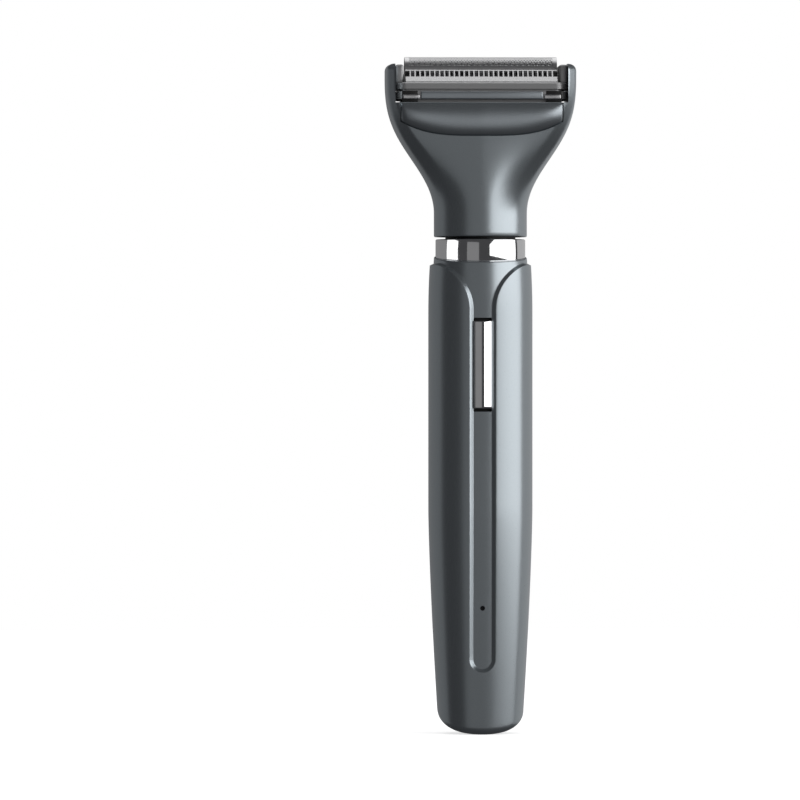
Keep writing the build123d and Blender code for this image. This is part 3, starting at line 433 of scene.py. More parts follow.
def eased_box(shell: Shell, low: Sequence[float], high: Sequence[float], edge: float) -> None:
    """Adds a box with rounded edges.

    Args:
        shell: Where the box goes.
        low: Lowest corner.
        high: Highest corner.
        edge: Radius of the edges.
    """
    solid = bmesh.new()
    bmesh.ops.create_cube(solid, size=1.0)
    for vertex in solid.verts:
        for axis in range(3):
            vertex.co[axis] = high[axis] if vertex.co[axis] > 0 else low[axis]
    bmesh.ops.bevel(
        solid, geom=solid.edges[:], offset=edge, segments=3, profile=0.5, affect="EDGES"
    )
    numbers = shell.row([tuple(v.co) for v in solid.verts])
    solid.verts.index_update()
    for face in solid.faces:
        shell.faces.append(tuple(numbers[v.index] for v in face.verts))
    solid.free()


def turned(shell: Shell, profile: Sequence[tuple[float, float]], count: int = 128) -> None:
    """Adds a ring turned from a closed profile of (radius, height)."""
    angles = full_turn(count)
    rows = [
        [(radius * math.cos(a), radius * math.sin(a), z) for a in angles]
        for radius, z in [*profile, profile[0]]
    ]
    shell.grid(rows, closed=True)


def dress(piece: bpy.types.Object, slot: str) -> None:
    """Gives a piece its slot's finish and no other."""
    piece.data.materials.clear()
    piece.data.materials.append(FINISHES[slot].material())


def place(piece: bpy.types.Object, slot: str, body: str, *nodes: str) -> None:
    """Dresses a piece and says what it stands for.

    Args:
        piece: The finished piece.
        slot: The record's material slot.
        body: CAD body that it moves with.
        nodes: CAD nodes that it replaces.
    """
    dress(piece, slot)
    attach(piece, body)
    if nodes:
        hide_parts(*nodes)
    log.info("%s: %d faces", piece.name, len(piece.data.polygons))


class Recipe:
    """A Geometry Nodes tree, built node by node, with named sizes."""

    def __init__(self, name: str) -> None:
        """Starts an empty tree."""
        self.tree = bpy.data.node_groups.new(name, "GeometryNodeTree")
        self.entry = self.tree.nodes.new("NodeGroupInput")
        self.sizes: dict[str, float] = {}

    def size(self, label: str, value: float) -> bpy.types.NodeSocket:
        """Adds a named size and returns its socket."""
        kind = "NodeSocketInt" if isinstance(value, int) else "NodeSocketFloat"
        self.tree.interface.new_socket(label, in_out="INPUT", socket_type=kind)
        self.sizes[label] = value
        return self.entry.outputs[label]

    def node(self, kind: str, inputs: dict[Any, Any], **settings: Any) -> bpy.types.Node:
        """Adds a node.

        Args:
            kind: Type of the node.
            inputs: A socket or a constant for each input.
            settings: The node's own properties.

        Returns:
            The node.
        """
        made = self.tree.nodes.new(kind)
        for label, value in settings.items():
            setattr(made, label, value)
        for key, value in inputs.items():
            if isinstance(value, bpy.types.NodeSocket):
                self.tree.links.new(value, made.inputs[key])
            else:
                made.inputs[key].default_value = value
        return made

    def calc(self, operation: str, first: Any, second: Any = 0.0) -> bpy.types.NodeSocket:
        """Adds a sum of two values."""
        return self.node("ShaderNodeMath", {0: first, 1: second}, operation=operation).outputs[0]

    def vector(self, x: Any = 0.0, y: Any = 0.0, z: Any = 0.0) -> bpy.types.NodeSocket:
        """Adds a vector of three values."""
        return self.node("ShaderNodeCombineXYZ", {0: x, 1: y, 2: z}).outputs[0]

    def join(self, *parts: bpy.types.NodeSocket) -> bpy.types.NodeSocket:
        """Adds a join of several geometries."""
        made = self.tree.nodes.new("GeometryNodeJoinGeometry")
        for part in parts:
            self.tree.links.new(part, made.inputs[0])
        return made.outputs[0]

    def moved(
        self, geometry: bpy.types.NodeSocket, spot: Any = (0, 0, 0), turn: Any = (0, 0, 0)
    ) -> bpy.types.NodeSocket:
        """Adds a move and a turn of one geometry."""
        inputs = {"Geometry": geometry, "Translation": spot, "Rotation": turn}
        return self.node("GeometryNodeTransform", inputs).outputs[0]

    def sheet(self, wide: Any, deep: Any, across: Any, along: Any) -> bpy.types.NodeSocket:
        """Adds a flat grid."""
        inputs = {"Size X": wide, "Size Y": deep, "Vertices X": across, "Vertices Y": along}
        return self.node("GeometryNodeMeshGrid", inputs).outputs["Mesh"]

    def copies(self, points: Any, item: Any, turn: Any) -> bpy.types.NodeSocket:
        """Adds copies of an item at points."""
        inputs = {"Points": points, "Instance": item, "Rotation": turn}
        return self.node("GeometryNodeInstanceOnPoints", inputs).outputs[0]

    def welded(self, geometry: bpy.types.NodeSocket, distance: float) -> bpy.types.NodeSocket:
        """Adds a weld of points closer than a distance in millimetres."""
        inputs = {"Geometry": geometry, "Distance": distance * MM}
        return self.node("GeometryNodeMergeByDistance", inputs).outputs[0]

    def run(
        self, name: str, geometry: bpy.types.NodeSocket, finish: Finish
    ) -> bpy.types.Object:
        """Ends the tree, runs it and keeps the plain mesh.

        Args:
            name: Name of the object.
            geometry: What the tree has made.
            finish: Finish that it gets.

        Returns:
            The object, without its modifier.
        """
        solid = self.node("GeometryNodeRealizeInstances", {0: geometry}).outputs[0]
        dressed = self.node(
            "GeometryNodeSetMaterial", {"Geometry": solid, "Material": finish.material()}
        ).outputs[0]
        self.tree.interface.new_socket(
            "Geometry", in_out="OUTPUT", socket_type="NodeSocketGeometry"
        )
        self.tree.links.new(dressed, self.tree.nodes.new("NodeGroupOutput").inputs[0])
        piece = bpy.data.objects.new(name, bpy.data.meshes.new(name))
        bpy.context.scene.collection.objects.link(piece)
        step = piece.modifiers.new("recipe", "NODES")
        step.node_group = self.tree
        for item in self.tree.interface.items_tree:
            if item.item_type == "SOCKET" and item.name in self.sizes:
                step[item.identifier] = self.sizes[item.name]
        return tidy_mesh(baked(piece))


class Section:
    """A superellipse measured round its edge, from the front middle over +X to the back."""

    STEPS = 1600

    def __init__(self, half_x: float, half_y: float, power: float) -> None:
        """Measures the section.

        Args:
            half_x: Half of its width.
            half_y: Half of its depth.
            power: Exponent, 2 for an ellipse.
        """
        self.half_x, self.half_y, self.power = half_x, half_y, power
        self.places: list[tuple[float, float]] = []
        self.reach = [0.0]
        for i in range(self.STEPS + 1):
            angle = math.pi * i / self.STEPS
            s, c = math.sin(angle), math.cos(angle)
            x = half_x * abs(s) ** (2 / power)
            y = -math.copysign(half_y * abs(c) ** (2 / power), c)
            self.places.append((x, y))
            if i:
                self.reach.append(self.reach[-1] + math.dist(self.places[-2], (x, y)))
        self.length = self.reach[-1]

    def at(self, along: float) -> tuple[float, float, float, float]:
        """Point and outward normal at a distance along the edge.

        Args:
            along: Distance from the front middle.

        Returns:
            X, Y and the normal's X and Y.
        """
        along = min(max(along, 0.0), self.length)
        low, high = 0, self.STEPS
        while high - low > 1:
            middle = (low + high) // 2
            if self.reach[middle] <= along:
                low = middle
            else:
                high = middle
        part = (along - self.reach[low]) / max(1e-9, self.reach[high] - self.reach[low])
        x = mix(self.places[low][0], self.places[high][0], part)
        y = mix(self.places[low][1], self.places[high][1], part)
        nx = (abs(x) / self.half_x) ** (self.power - 1) / self.half_x
        ny = math.copysign((abs(y) / self.half_y) ** (self.power - 1) / self.half_y, y)
        size = math.hypot(nx, ny)
        return x, y, nx / size, ny / size


@dataclass
class GripSkin:
    """The grip's outer shell: jacket, channel, V, rim, slanted base and port."""

    half_width: float = 12.75
    half_depth: float = 14.0
    power: float = 2.25
    base_half_width: float = 10.2
    taper_height: float = 55.0
    taper_power: float = 1.4
    top_narrowing: float = 0.35
    top_taper: float = 11.6
    jacket_top: float = 114.6
    recess: float = 0.9
    wall: float = 2.0
    base_z: float = 3.936
    base_slope: float = 0.43
    base_wall: float = 2.2
    base_edge: float = 1.8
    channel_half: float = 3.3
    channel_centre: float = 18.4
    channel_top: float = 103.7
    arc: float = 10.9
    slope_width: float = 1.0
    top_slope_width: float = 0.5
    rim_z: float = 116.6
    rim_slope: float = 0.1
    rim_edge: float = 0.2
    ring_bore: float = 11.1
    ring_seat: float = 114.0
    mouth_radius: float = 10.5
    mouth_bottom: float = 104.5
    columns: int = 84
    floor_columns: int = 10
    lamp_height: float = 30.9
    lamp_radius: float = 0.6
    slot_half: float = 2.25
    slot_heights: tuple[float, float] = (78.8, 101.7)
    slot_edge: float = 0.25
    cutter_depths: tuple[float, float] = (-20.0, -6.0)
    port: tuple[float, float] = (9.04, 3.36)
    section: Section = field(init=False)

    def __post_init__(self) -> None:
        """Measures the fullest section."""
        self.section = Section(self.half_width, self.half_depth, self.power)

    def scale_at(self, z: float) -> float:
        """Size of the section at a height, 1 where the grip is fullest."""
        half = self.half_width
        if z < self.taper_height:
            down = (self.taper_height - z) / self.taper_height
            return (half - (half - self.base_half_width) * down**self.taper_power) / half
        up = max(0.0, z - (self.jacket_top - self.top_taper)) / self.top_taper
        return (half - self.top_narrowing * up**2) / half

    def skin(self, along: float, z: float, depth: float = 0.0) -> Point:
        """Point under the grip's surface.

        Args:
            along: Distance round the section from the front middle.
            z: Height.
            depth: Distance below the surface.

        Returns:
            The point.
        """
        scale = self.scale_at(z)
        x, y, nx, ny = self.section.at(along / scale)
        return x * scale - nx * depth, y * scale - ny * depth, z

    def half_round(self, z: float) -> float:
        """Distance round the section from the front middle to the back middle."""
        return self.section.length * self.scale_at(z)

    def wall_profile(self) -> list[tuple[float, float]]:
        """Place and depth, as shares, across the slope from the jacket to the recess floor."""
        ease = 0.2
        steep = 1 / (1 - ease)
        shares = [0, 0.05, 0.1, 0.15, ease, 0.35, 0.5, 0.65, 1 - ease, 0.85, 0.9, 0.95, 1]
        profile = []
        for t in shares:
            if t < ease:
                depth = steep * t * t / (2 * ease)
            elif t > 1 - ease:
                depth = 1 - steep * (1 - t) ** 2 / (2 * ease)
            else:
                depth = steep * (t - ease / 2)
            profile.append((t, depth * self.recess))
        return profile

    def outline(self) -> list[tuple[float, float, float, float, float]]:
        """The recess edge from the channel's foot to the V's top.

        Returns:
            Distance round, height, direction into the recess and slope width of each sample.
        """
        samples = []
        half, wide = self.channel_half, self.slope_width
        for a in spread(0, math.pi / 2, 14):
            samples.append(
                (half * math.sin(a), self.channel_centre - half * math.cos(a),
                 -math.sin(a), math.cos(a), wide)
            )
        for z in spread(self.channel_centre, self.channel_top, 48)[1:]:
            samples.append((half, z, -1.0, 0.0, wide))
        centre = half + self.arc
        for a in spread(0, math.pi / 2, 28)[1:]:
            width = mix(wide, self.top_slope_width, smooth(2 * a / math.pi))
            samples.append(
                (centre - self.arc * math.cos(a), self.channel_top + self.arc * math.sin(a),
                 -math.cos(a), math.sin(a), width)
            )
        return samples

    def base_rows(self) -> list[list[Point]]:
        """Rows from the channel's foot down over the base's rounded edge to its middle."""
        top_z = self.channel_centre - self.channel_half
        lean = math.hypot(1, self.base_slope)
        down = (0.0, self.base_slope / lean, -1 / lean)
        columns = []
        for j in range(self.columns + 1):
            share = j / self.columns
            z = self.base_z
            for _ in range(BASE_STEPS):
                centre = self.skin(share * self.half_round(z), z, self.base_edge)
                z = self.base_z + self.base_slope * centre[1] + self.base_edge * lean
            column = [
                self.skin(share * self.half_round(h), h) for h in spread(top_z, z, 12)
            ]
            x, y, _ = column[-1]
            out = Vector((x - centre[0], y - centre[1], 0)).normalized()
            turn = out.angle(Vector(down))
            for part in spread(0, 1, 10)[1:]:
                way = (
                    out * math.sin((1 - part) * turn) + Vector(down) * math.sin(part * turn)
                ) / math.sin(turn)
                column.append(tuple(Vector(centre) + way * self.base_edge))
            x, y, z = column[-1]
            for inward in (0.9, 0.7, 0.45, 0.2, 0.0):
                column.append((x * inward, y, z))
            columns.append(column)
        return [list(row) for row in zip(*columns)]

    def inner_rows(self, shares: Sequence[float]) -> list[list[Point]]:
        """Rows of the inner wall, from the rim's edge down to the inner floor.

        Args:
            shares: Where each column stands, as a share of the way round.

        Returns:
            The rows, top first.
        """
        angles = []
        for share in shares:
            x, y, _ = self.skin(share * self.half_round(self.jacket_top), self.jacket_top)
            angles.append(math.atan2(y, x))
        rows = []
        top = []
        for angle in angles:
            y = self.ring_bore * math.sin(angle)
            top.append((self.ring_bore * math.cos(angle), y, self.rim_z + self.rim_slope * y))
        rows.append(top)
        steps = [
            (self.ring_bore, self.ring_seat),
            (self.mouth_radius, self.ring_seat),
            (self.mouth_radius, self.mouth_bottom),
        ]
        for radius, z in steps:
            rows.append([(radius * math.cos(a), radius * math.sin(a), z) for a in angles])
        floor = self.base_z + self.base_wall * math.hypot(1, self.base_slope)
        columns = []
        for share in shares:
            z = floor
            for _ in range(BASE_STEPS):
                y = self.skin(share * self.half_round(z), z, self.wall)[1]
                z = floor + self.base_slope * y
            column = [
                self.skin(share * self.half_round(h), h, self.wall)
                for h in spread(self.mouth_bottom, z, 24)
            ]
            x, y, z = column[-1]
            column += [(x * inward, y, z) for inward in (0.6, 0.3, 0.0)]
            columns.append(column)
        return rows + [list(row) for row in zip(*columns)]

    def surface(self) -> Shell:
        """Right half of the shell, ready to be mirrored."""
        shell = Shell()
        shell.grid(self.base_rows())
        jacket, strip, floor = [], [], []
        for along, z, du, dz, width in self.outline():
            jacket.append(
                [self.skin(a, z) for a in spread(along, self.half_round(z), self.columns)]
            )
            slope = []
            for share, depth in self.wall_profile():
                step = share * width
                slope.append((along + du * step, z + dz * step, depth))
            strip.append([self.skin(a, h, d) for a, h, d in slope])
            end_along, end_z, end_depth = slope[-1]
            floor.append(
                [self.skin(a, end_z, end_depth) for a in spread(0, end_along, self.floor_columns)]
            )
        shell.grid(jacket)
        shell.grid(floor)
        corner = self.channel_half + self.arc
        around = spread(corner, self.half_round(self.jacket_top), self.columns)
        top_width = self.top_slope_width
        for along in around[1:]:
            strip.append(
                [
                    self.skin(along, self.jacket_top + share * top_width, depth)
                    for share, depth in self.wall_profile()
                ]
            )
        shell.grid(strip)
        start_z = self.jacket_top + top_width
        whole = spread(0, corner, self.floor_columns)[:-1] + around
        shares = [along / self.half_round(start_z) for along in whole]
        band = []
        for along in whole:
            x, y, _ = self.skin(along, start_z, self.recess)
            top_z = self.rim_z + self.rim_slope * y
            column = [
                self.skin(along, z, self.recess)
                for z in spread(start_z, top_z - self.rim_edge, 3)
            ]
            for turn in spread(0, math.pi / 2, 5)[1:]:
                inward = self.rim_edge * (1 - math.cos(turn))
                up = top_z - self.rim_edge * (1 - math.sin(turn))
                px, py, _ = self.skin(along, top_z, self.recess + inward)
                column.append((px, py, up))
            band.append(column)
        rows = [list(row) for row in zip(*band)]
        shell.grid(rows + self.inner_rows(shares))
        return shell

    def build(self) -> None:
        """Makes the shell with its slot, lamp hole and port."""
        half = self.surface()
        half.mirrored(0)
        piece = half.build("grip_skin")
        slot = Shell()
        low, high = self.slot_heights
        near, far = self.cutter_depths
        eased_box(slot, (-self.slot_half, near, low), (self.slot_half, far, high), self.slot_edge)
        lamp = Shell()
        ring = [
            (self.lamp_radius * math.cos(a), self.lamp_height + self.lamp_radius * math.sin(a))
            for a in full_turn(32)
        ]
        rows = [[(x, y, z) for x, z in ring] for y in self.cutter_depths]
        lamp.tube(rows)
        port = self.port_cutter()
        piece = cut(
            piece, slot.build("slot_cutter"), lamp.build("lamp_cutter"), port.build("port_cutter")
        )
        place(piece, "shell_metallic", "handle", "grip_shell")

    def port_cutter(self) -> Shell:
        """Oblong prism through the base, square to it."""
        width, height = self.port
        lean = math.hypot(1, self.base_slope)
        out = Vector((0, self.base_slope, -1)) / lean
        across = Vector((0, 1, self.base_slope)) / lean
        straight = (width - height) / 2
        loop = []
        for side, start in ((1, -math.pi / 2), (-1, math.pi / 2)):
            for turn in spread(start, start + math.pi, 16):
                loop.append(
                    (side * straight + height / 2 * math.cos(turn), height / 2 * math.sin(turn))
                )
        shell = Shell()
        rows = []
        for reach in (-4.4, 2.2):
            centre = Vector((0, 0, self.base_z)) + out * reach
            rows.append([tuple(centre + Vector((u, 0, 0)) + across * v) for u, v in loop])
        shell.tube(rows)
        return shell


@dataclass
class GripTrim:
    """Polished ring and press bar."""

    ring_wall: float = 0.9
    ring_edge: float = 0.25
    bar_edge: float = 0.12
    bar_roof: float = 0.4
    bar_flange: float = 0.6
    flange_depth: float = 0.7
    soft_ring: float = 50.0
    soft_bar: float = 24.0
    crest_half: float = 0.36
    bar_end_gap: float = 0.45

    def ring(self) -> None:
        """Makes the ring with eased edges."""
        low, high = node_span("chrome_ring")
        outer, e = high[0], self.ring_edge
        inner = outer - self.ring_wall
        z0, z1 = low[2], high[2]
        k = e * 0.3
        profile = [
            (inner + k, z0), (outer - e, z0), (outer - k, z0 + k), (outer, z0 + e),
            (outer, z1 - e), (outer - k, z1 - k), (outer - e, z1), (inner + e, z1),
            (inner + k, z1 - k), (inner, z1 - e), (inner, z0 + k),
        ]
        shell = Shell()
        turned(shell, profile, 160)
        ring = shell.build("polished_ring", self.soft_ring)
        place(ring, "bright_chrome", "handle", "chrome_ring")

    def bar(self) -> None:
        """Makes the press bar with its roof-shaped face and the flange behind it."""
        low, high = node_span("press_bar")
        flange, back = self.bar_flange, high[1]
        half = high[0] - flange
        z0, z1 = low[2] + flange + self.bar_end_gap, high[2] - flange - self.bar_end_gap
        crest = low[1]
        eaves = crest + self.bar_roof
        front_back = back - self.flange_depth
        r = self.bar_edge
        c = self.crest_half
        ridge = (eaves - crest) * c / half
        outline = [
            (-half, front_back), (-half, eaves + r), (-half + r * 0.3, eaves + r * 0.25),
            (-half + r, eaves - (eaves - crest) * r / half),
            (-c, crest + ridge), (-c * 0.9, crest + ridge * 0.9), (0.0, crest + ridge * 0.9),
        ]
        outline = outline + [(-x, y) for x, y in reversed(outline[:-1])]
        shell = Shell()
        rows = []
        ends = ((0.0, 0.35), (0.1, 0.1), (0.35, 0.0), (0.5, 0.0), (0.7, 0.0))
        levels = [(z0 + up, inset) for up, inset in ends]
        levels += [(z1 - up, inset) for up, inset in reversed(ends)]
        for z, inset in levels:
            rows.append([(x, min(y + inset * 0.7, front_back), z) for x, y in outline])
        shell.tube(rows)
        face = shell.build("press_bar_face", self.soft_bar)
        place(face, "bright_chrome", "power_button", "press_bar")
        foot = Shell()
        eased_box(foot, (low[0], front_back - 0.001, low[2]), (high[0], back, high[2]), 0.15)
        place(foot.build("press_bar_flange"), "dark_plastic", "power_button")

    def build(self) -> None:
        """Makes both pieces."""
        self.ring()
        self.bar()


@dataclass
class HeadShell:
    """The flared shell between the neck and the cartridge, with its two ears."""

    neck_z: float = 121.6
    neck_radius: float = 11.4
    neck_straight: float = 5.7
    flare_height: float = 32.7
    flare_lead: float = 0.17
    half_x: float = 23.5
    half_y: float = 10.5
    top_z: float = 163.9
    guard_z: float = 154.3
    wall: float = 1.6
    ear_inner: float = 21.1
    ear_round: float = 1.8
    bore_top: float = 130.0
    bore_radius: float = 9.8
    seat_z: float = 150.4
    seat: tuple[float, float, float] = (21.1, 8.7, 3.1)

    def share(self, z: float) -> float:
        """How far the head has opened at a height."""
        t = min(1.0, max(0.0, (z - self.neck_z - self.neck_straight) / self.flare_height))
        return smooth(t + self.flare_lead * t * math.sin(math.pi * t))

    def quarter(self, z: float, inset: float = 0.0) -> list[tuple[float, float]]:
        """Front right quarter of the section, from the front middle to the side.

        Args:
            z: Height.
            inset: Distance inside the outer form.

        Returns:
            X and Y of each column.
        """
        share = self.share(z)
        a = mix(self.neck_radius, self.half_x, share) - inset
        b = mix(self.neck_radius, self.half_y, share) - inset
        corners = [
            Vector((0, -b)), Vector((a - 2.5, -(b - 0.7))), Vector((a - 0.35, -(b - 3.4))),
            Vector((a, 0)),
        ]
        ab = (corners[1] - corners[0]).normalized()
        bc = (corners[2] - corners[1]).normalized()
        cd = (corners[3] - corners[2]).normalized()
        ease = 0.8
        stops = [
            corners[0], corners[1] - ab * ease, corners[1] + bc * ease,
            corners[2] - bc * ease, corners[2] + cd * ease, corners[3],
        ]
        angles = [0, 39.5, 46, 55, 64, 90]
        counts = [22, 6, 5, 6, 10]
        bends = {1: corners[1], 3: corners[2]}
        points = []
        for i, count in enumerate(counts):
            for k in range(count + (i == 4)):
                t = k / count
                if i in bends:
                    flat = (
                        stops[i] * (1 - t) ** 2 + bends[i] * 2 * t * (1 - t) + stops[i + 1] * t * t
                    )
                else:
                    flat = stops[i].lerp(stops[i + 1], t)
                turn = math.radians(mix(angles[i], angles[i + 1], t))
                x = mix(a * math.sin(turn), flat.x, share)
                y = mix(-b * math.cos(turn), flat.y, share)
                points.append((x, y))
        return points

    def front_depth(self, x: float, z: float) -> float:
        """Y of the front surface at a place."""
        points = self.quarter(z)
        x = abs(x)
        for (x0, y0), (x1, y1) in zip(points, points[1:]):
            if x0 <= x <= x1:
                return mix(y0, y1, (x - x0) / max(1e-9, x1 - x0))
        return points[-1][1]

    def stack(
        self, levels: Sequence[tuple[float, float]], inset: float = 0.0, limit: float = 99.0
    ) -> Shell:
        """Closed solid through sections at several heights.

        Args:
            levels: Height and extra inset of each section.
            inset: Distance inside the outer form.
            limit: Largest X that a point may have.

        Returns:
            The whole solid.
        """
        rows = []
        for z, extra in levels:
            quarter = self.quarter(z, inset + extra)
            rows.append([(min(x, limit), y, z) for x, y in quarter])
        first, last = rows[0], rows[-1]
        ends = [0.8, 0.5, 0.2, 0.0]
        rows = (
            [[(x, y * k, z) for x, y, z in first] for k in reversed(ends)]
            + rows
            + [[(x, y * k, z) for x, y, z in last] for k in ends]
        )
        shell = Shell()
        shell.grid(rows)
        shell.mirrored(1)
        shell.mirrored(0)
        return shell

    def outer_levels(self) -> list[tuple[float, float]]:
        """Heights and insets from the rounded foot to the rounded top."""
        foot = [
            (self.neck_z + 0.3 * (1 - math.cos(t)), 0.3 * (1 - math.sin(t)))
            for t in spread(0, math.pi / 2, 3)
        ]
        r = self.ear_round
        body = [(z, 0.0) for z in spread(self.neck_z + 0.3, self.top_z - r, 54)[1:]]
        top = [
            (self.top_z - r * (1 - math.sin(t)), r * (1 - math.cos(t)))
            for t in spread(0, math.pi / 2, 9)[1:]
        ]
        return foot + body + top

    def build(self) -> None:
        """Makes the shell and hollows it."""
        outer = self.stack(self.outer_levels())
        piece = outer.build("head_skin", HEAD_SOFT_ANGLE)
        cavity = self.stack(
            [(z, 0.0) for z in spread(self.bore_top - 0.1, self.guard_z + 1, 30)],
            self.wall, self.ear_inner,
        )
        window = Shell()
        eased_box(
            window, (-self.ear_inner, -30, self.guard_z), (self.ear_inner, 30, 180), 0.05
        )
        bore = Shell()
        turned(bore, [(0.001, self.neck_z - 1), (self.bore_radius, self.neck_z - 1),
                      (self.bore_radius, self.bore_top), (0.001, self.bore_top)], 96)
        seat = Shell()
        half_x, half_y, corner = self.seat
        loop = rounded_loop(half_x, half_y, corner)
        seat.tube([[(x, y, z) for x, y in loop] for z in (self.seat_z, self.guard_z + 1)])
        piece = cut(
            piece, cavity.build("cavity"), window.build("window"), bore.build("bore"),
            seat.build("seat"),
        )
        piece.data.set_sharp_from_angle(angle=math.radians(HEAD_SOFT_ANGLE))
        place(piece, "shell_metallic", "head", "head_shell")


def rounded_loop(
    half_x: float, half_y: float, corner: float, per_corner: int = 10, per_side: int = 8
) -> list[tuple[float, float]]:
    """A rounded rectangle, counted the same way round whatever its size.

    Args:
        half_x: Half of its width.
        half_y: Half of its depth.
        corner: Radius of its corners.
        per_corner: Steps round each corner.
        per_side: Steps along each side.

    Returns:
        X and Y of each point, anticlockwise from the right side.
    """
    loop: list[tuple[float, float]] = []
    signs = [(1, 1), (-1, 1), (-1, -1), (1, -1)]
    for i, (sx, sy) in enumerate(signs):
        centre = (sx * (half_x - corner), sy * (half_y - corner))
        start = math.pi / 2 * i
        for turn in spread(start, start + math.pi / 2, per_corner):
            loop.append((centre[0] + corner * math.cos(turn), centre[1] + corner * math.sin(turn)))
        nx, ny = signs[(i + 1) % 4]
        after = start + math.pi / 2
        end = (nx * (half_x - corner) + corner * math.cos(after),
               ny * (half_y - corner) + corner * math.sin(after))
        x, y = loop[-1]
        for k in range(1, per_side):
            loop.append((mix(x, end[0], k / per_side), mix(y, end[1], k / per_side)))
    return loop


@dataclass
class Guards:
    """Rounded bars, front and rear, that stretch the skin beside the cartridge."""

    head: HeadShell
    half_top: float = 19.9
    foot_z: float = 146.1
    smile: float = 3.1
    smile_power: float = 3.5
    proud: float = 1.05
    dip: float = 0.45
    groove: float = 0.12
    end_ease: float = 6.0
    groove_depth: float = 0.5
    across: int = 72
    up: int = 26

    def foot_at(self, x: float) -> float:
        """Height of the lower edge at a distance from the middle."""
        return self.foot_z + self.smile * (abs(x) / 19) ** self.smile_power

    def bar(self, name: str, node: str, side: int) -> None:
        """Makes one bar.

        Args:
            name: Name of the piece.
            node: CAD node that it replaces.
            side: -1 for the front, 1 for the rear.
        """
        top = self.head.guard_z - 0.15
        front, back = [], []
        for j in range(self.up + 1):
            v = j / self.up
            lift = math.sqrt(max(0.0, 1 - (2 * v - 1) ** 2))
            front_row, back_row = [], []
            for i in range(self.across + 1):
                u = 2 * i / self.across - 1
                x = self.half_top * math.copysign(1 - (1 - abs(u)) ** 1.25, u)
                z = mix(self.foot_at(x), top, v)
                edge = min(1.0, (self.half_top - abs(x)) / self.end_ease)
                ease = math.sqrt(max(0.0, 1 - (1 - edge) ** 2))
                surface = self.head.front_depth(x, z)
                depth = surface - self.proud * lift * ease + self.dip * (1 - lift * ease)
                front_row.append((-side * x, -side * depth, z))
                back_row.append((-side * x, -side * (surface + 0.6), z))
            front.append(front_row)
            back.append(back_row)
        shell = Shell()
        rows = [shell.row(points) for points in front]
        behind = [shell.row(points) for points in back]
        for a, b in zip(rows, rows[1:]):
            shell.band(a, b)
        for a, b in zip(behind, behind[1:]):
            shell.band(b, a)
        shell.band(behind[0], rows[0])
        shell.band(rows[-1], behind[-1])
        for k in (0, -1):
            shell.band([r[k] for r in rows], [r[k] for r in behind])
        place(shell.build(name, CRISP_BOX_ANGLE), "guard_metallic", "head", node)

    def groove_cutter(self, side: int) -> bpy.types.Object:
        """Solid that sinks the shell a little under one bar and round its edge."""
        top = self.head.guard_z + 1
        half = self.half_top + 0.02
        near, far = [], []
        for v in spread(0, 1, 10):
            outer, inner = [], []
            for x in spread(-half, half, 40):
                z = mix(self.foot_at(x) - self.groove, top, v)
                surface = self.head.front_depth(x, z)
                outer.append((-side * x, -side * (surface - 3), z))
                inner.append((-side * x, -side * (surface + self.groove_depth), z))
            near.append(outer)
            far.append(inner)
        shell = Shell()
        front = [shell.row(points) for points in near]
        back = [shell.row(points) for points in far]
        for rows in (front, back):
            for a, b in zip(rows, rows[1:]):
                shell.band(a, b)
        for k in (0, -1):
            shell.band(front[k], back[k])
            shell.band([r[k] for r in front], [r[k] for r in back])
        return shell.build(f"groove_cutter_{side}")

    def build(self) -> None:
        """Makes both bars and sinks the shell under them."""
        skin = cut(bpy.data.objects["head_skin"], *(self.groove_cutter(s) for s in (-1, 1)))
        skin.data.set_sharp_from_angle(angle=math.radians(HEAD_SOFT_ANGLE))
        self.bar("front_guard_bar", "front_guard", -1)
        self.bar("rear_guard_bar", "rear_guard", 1)


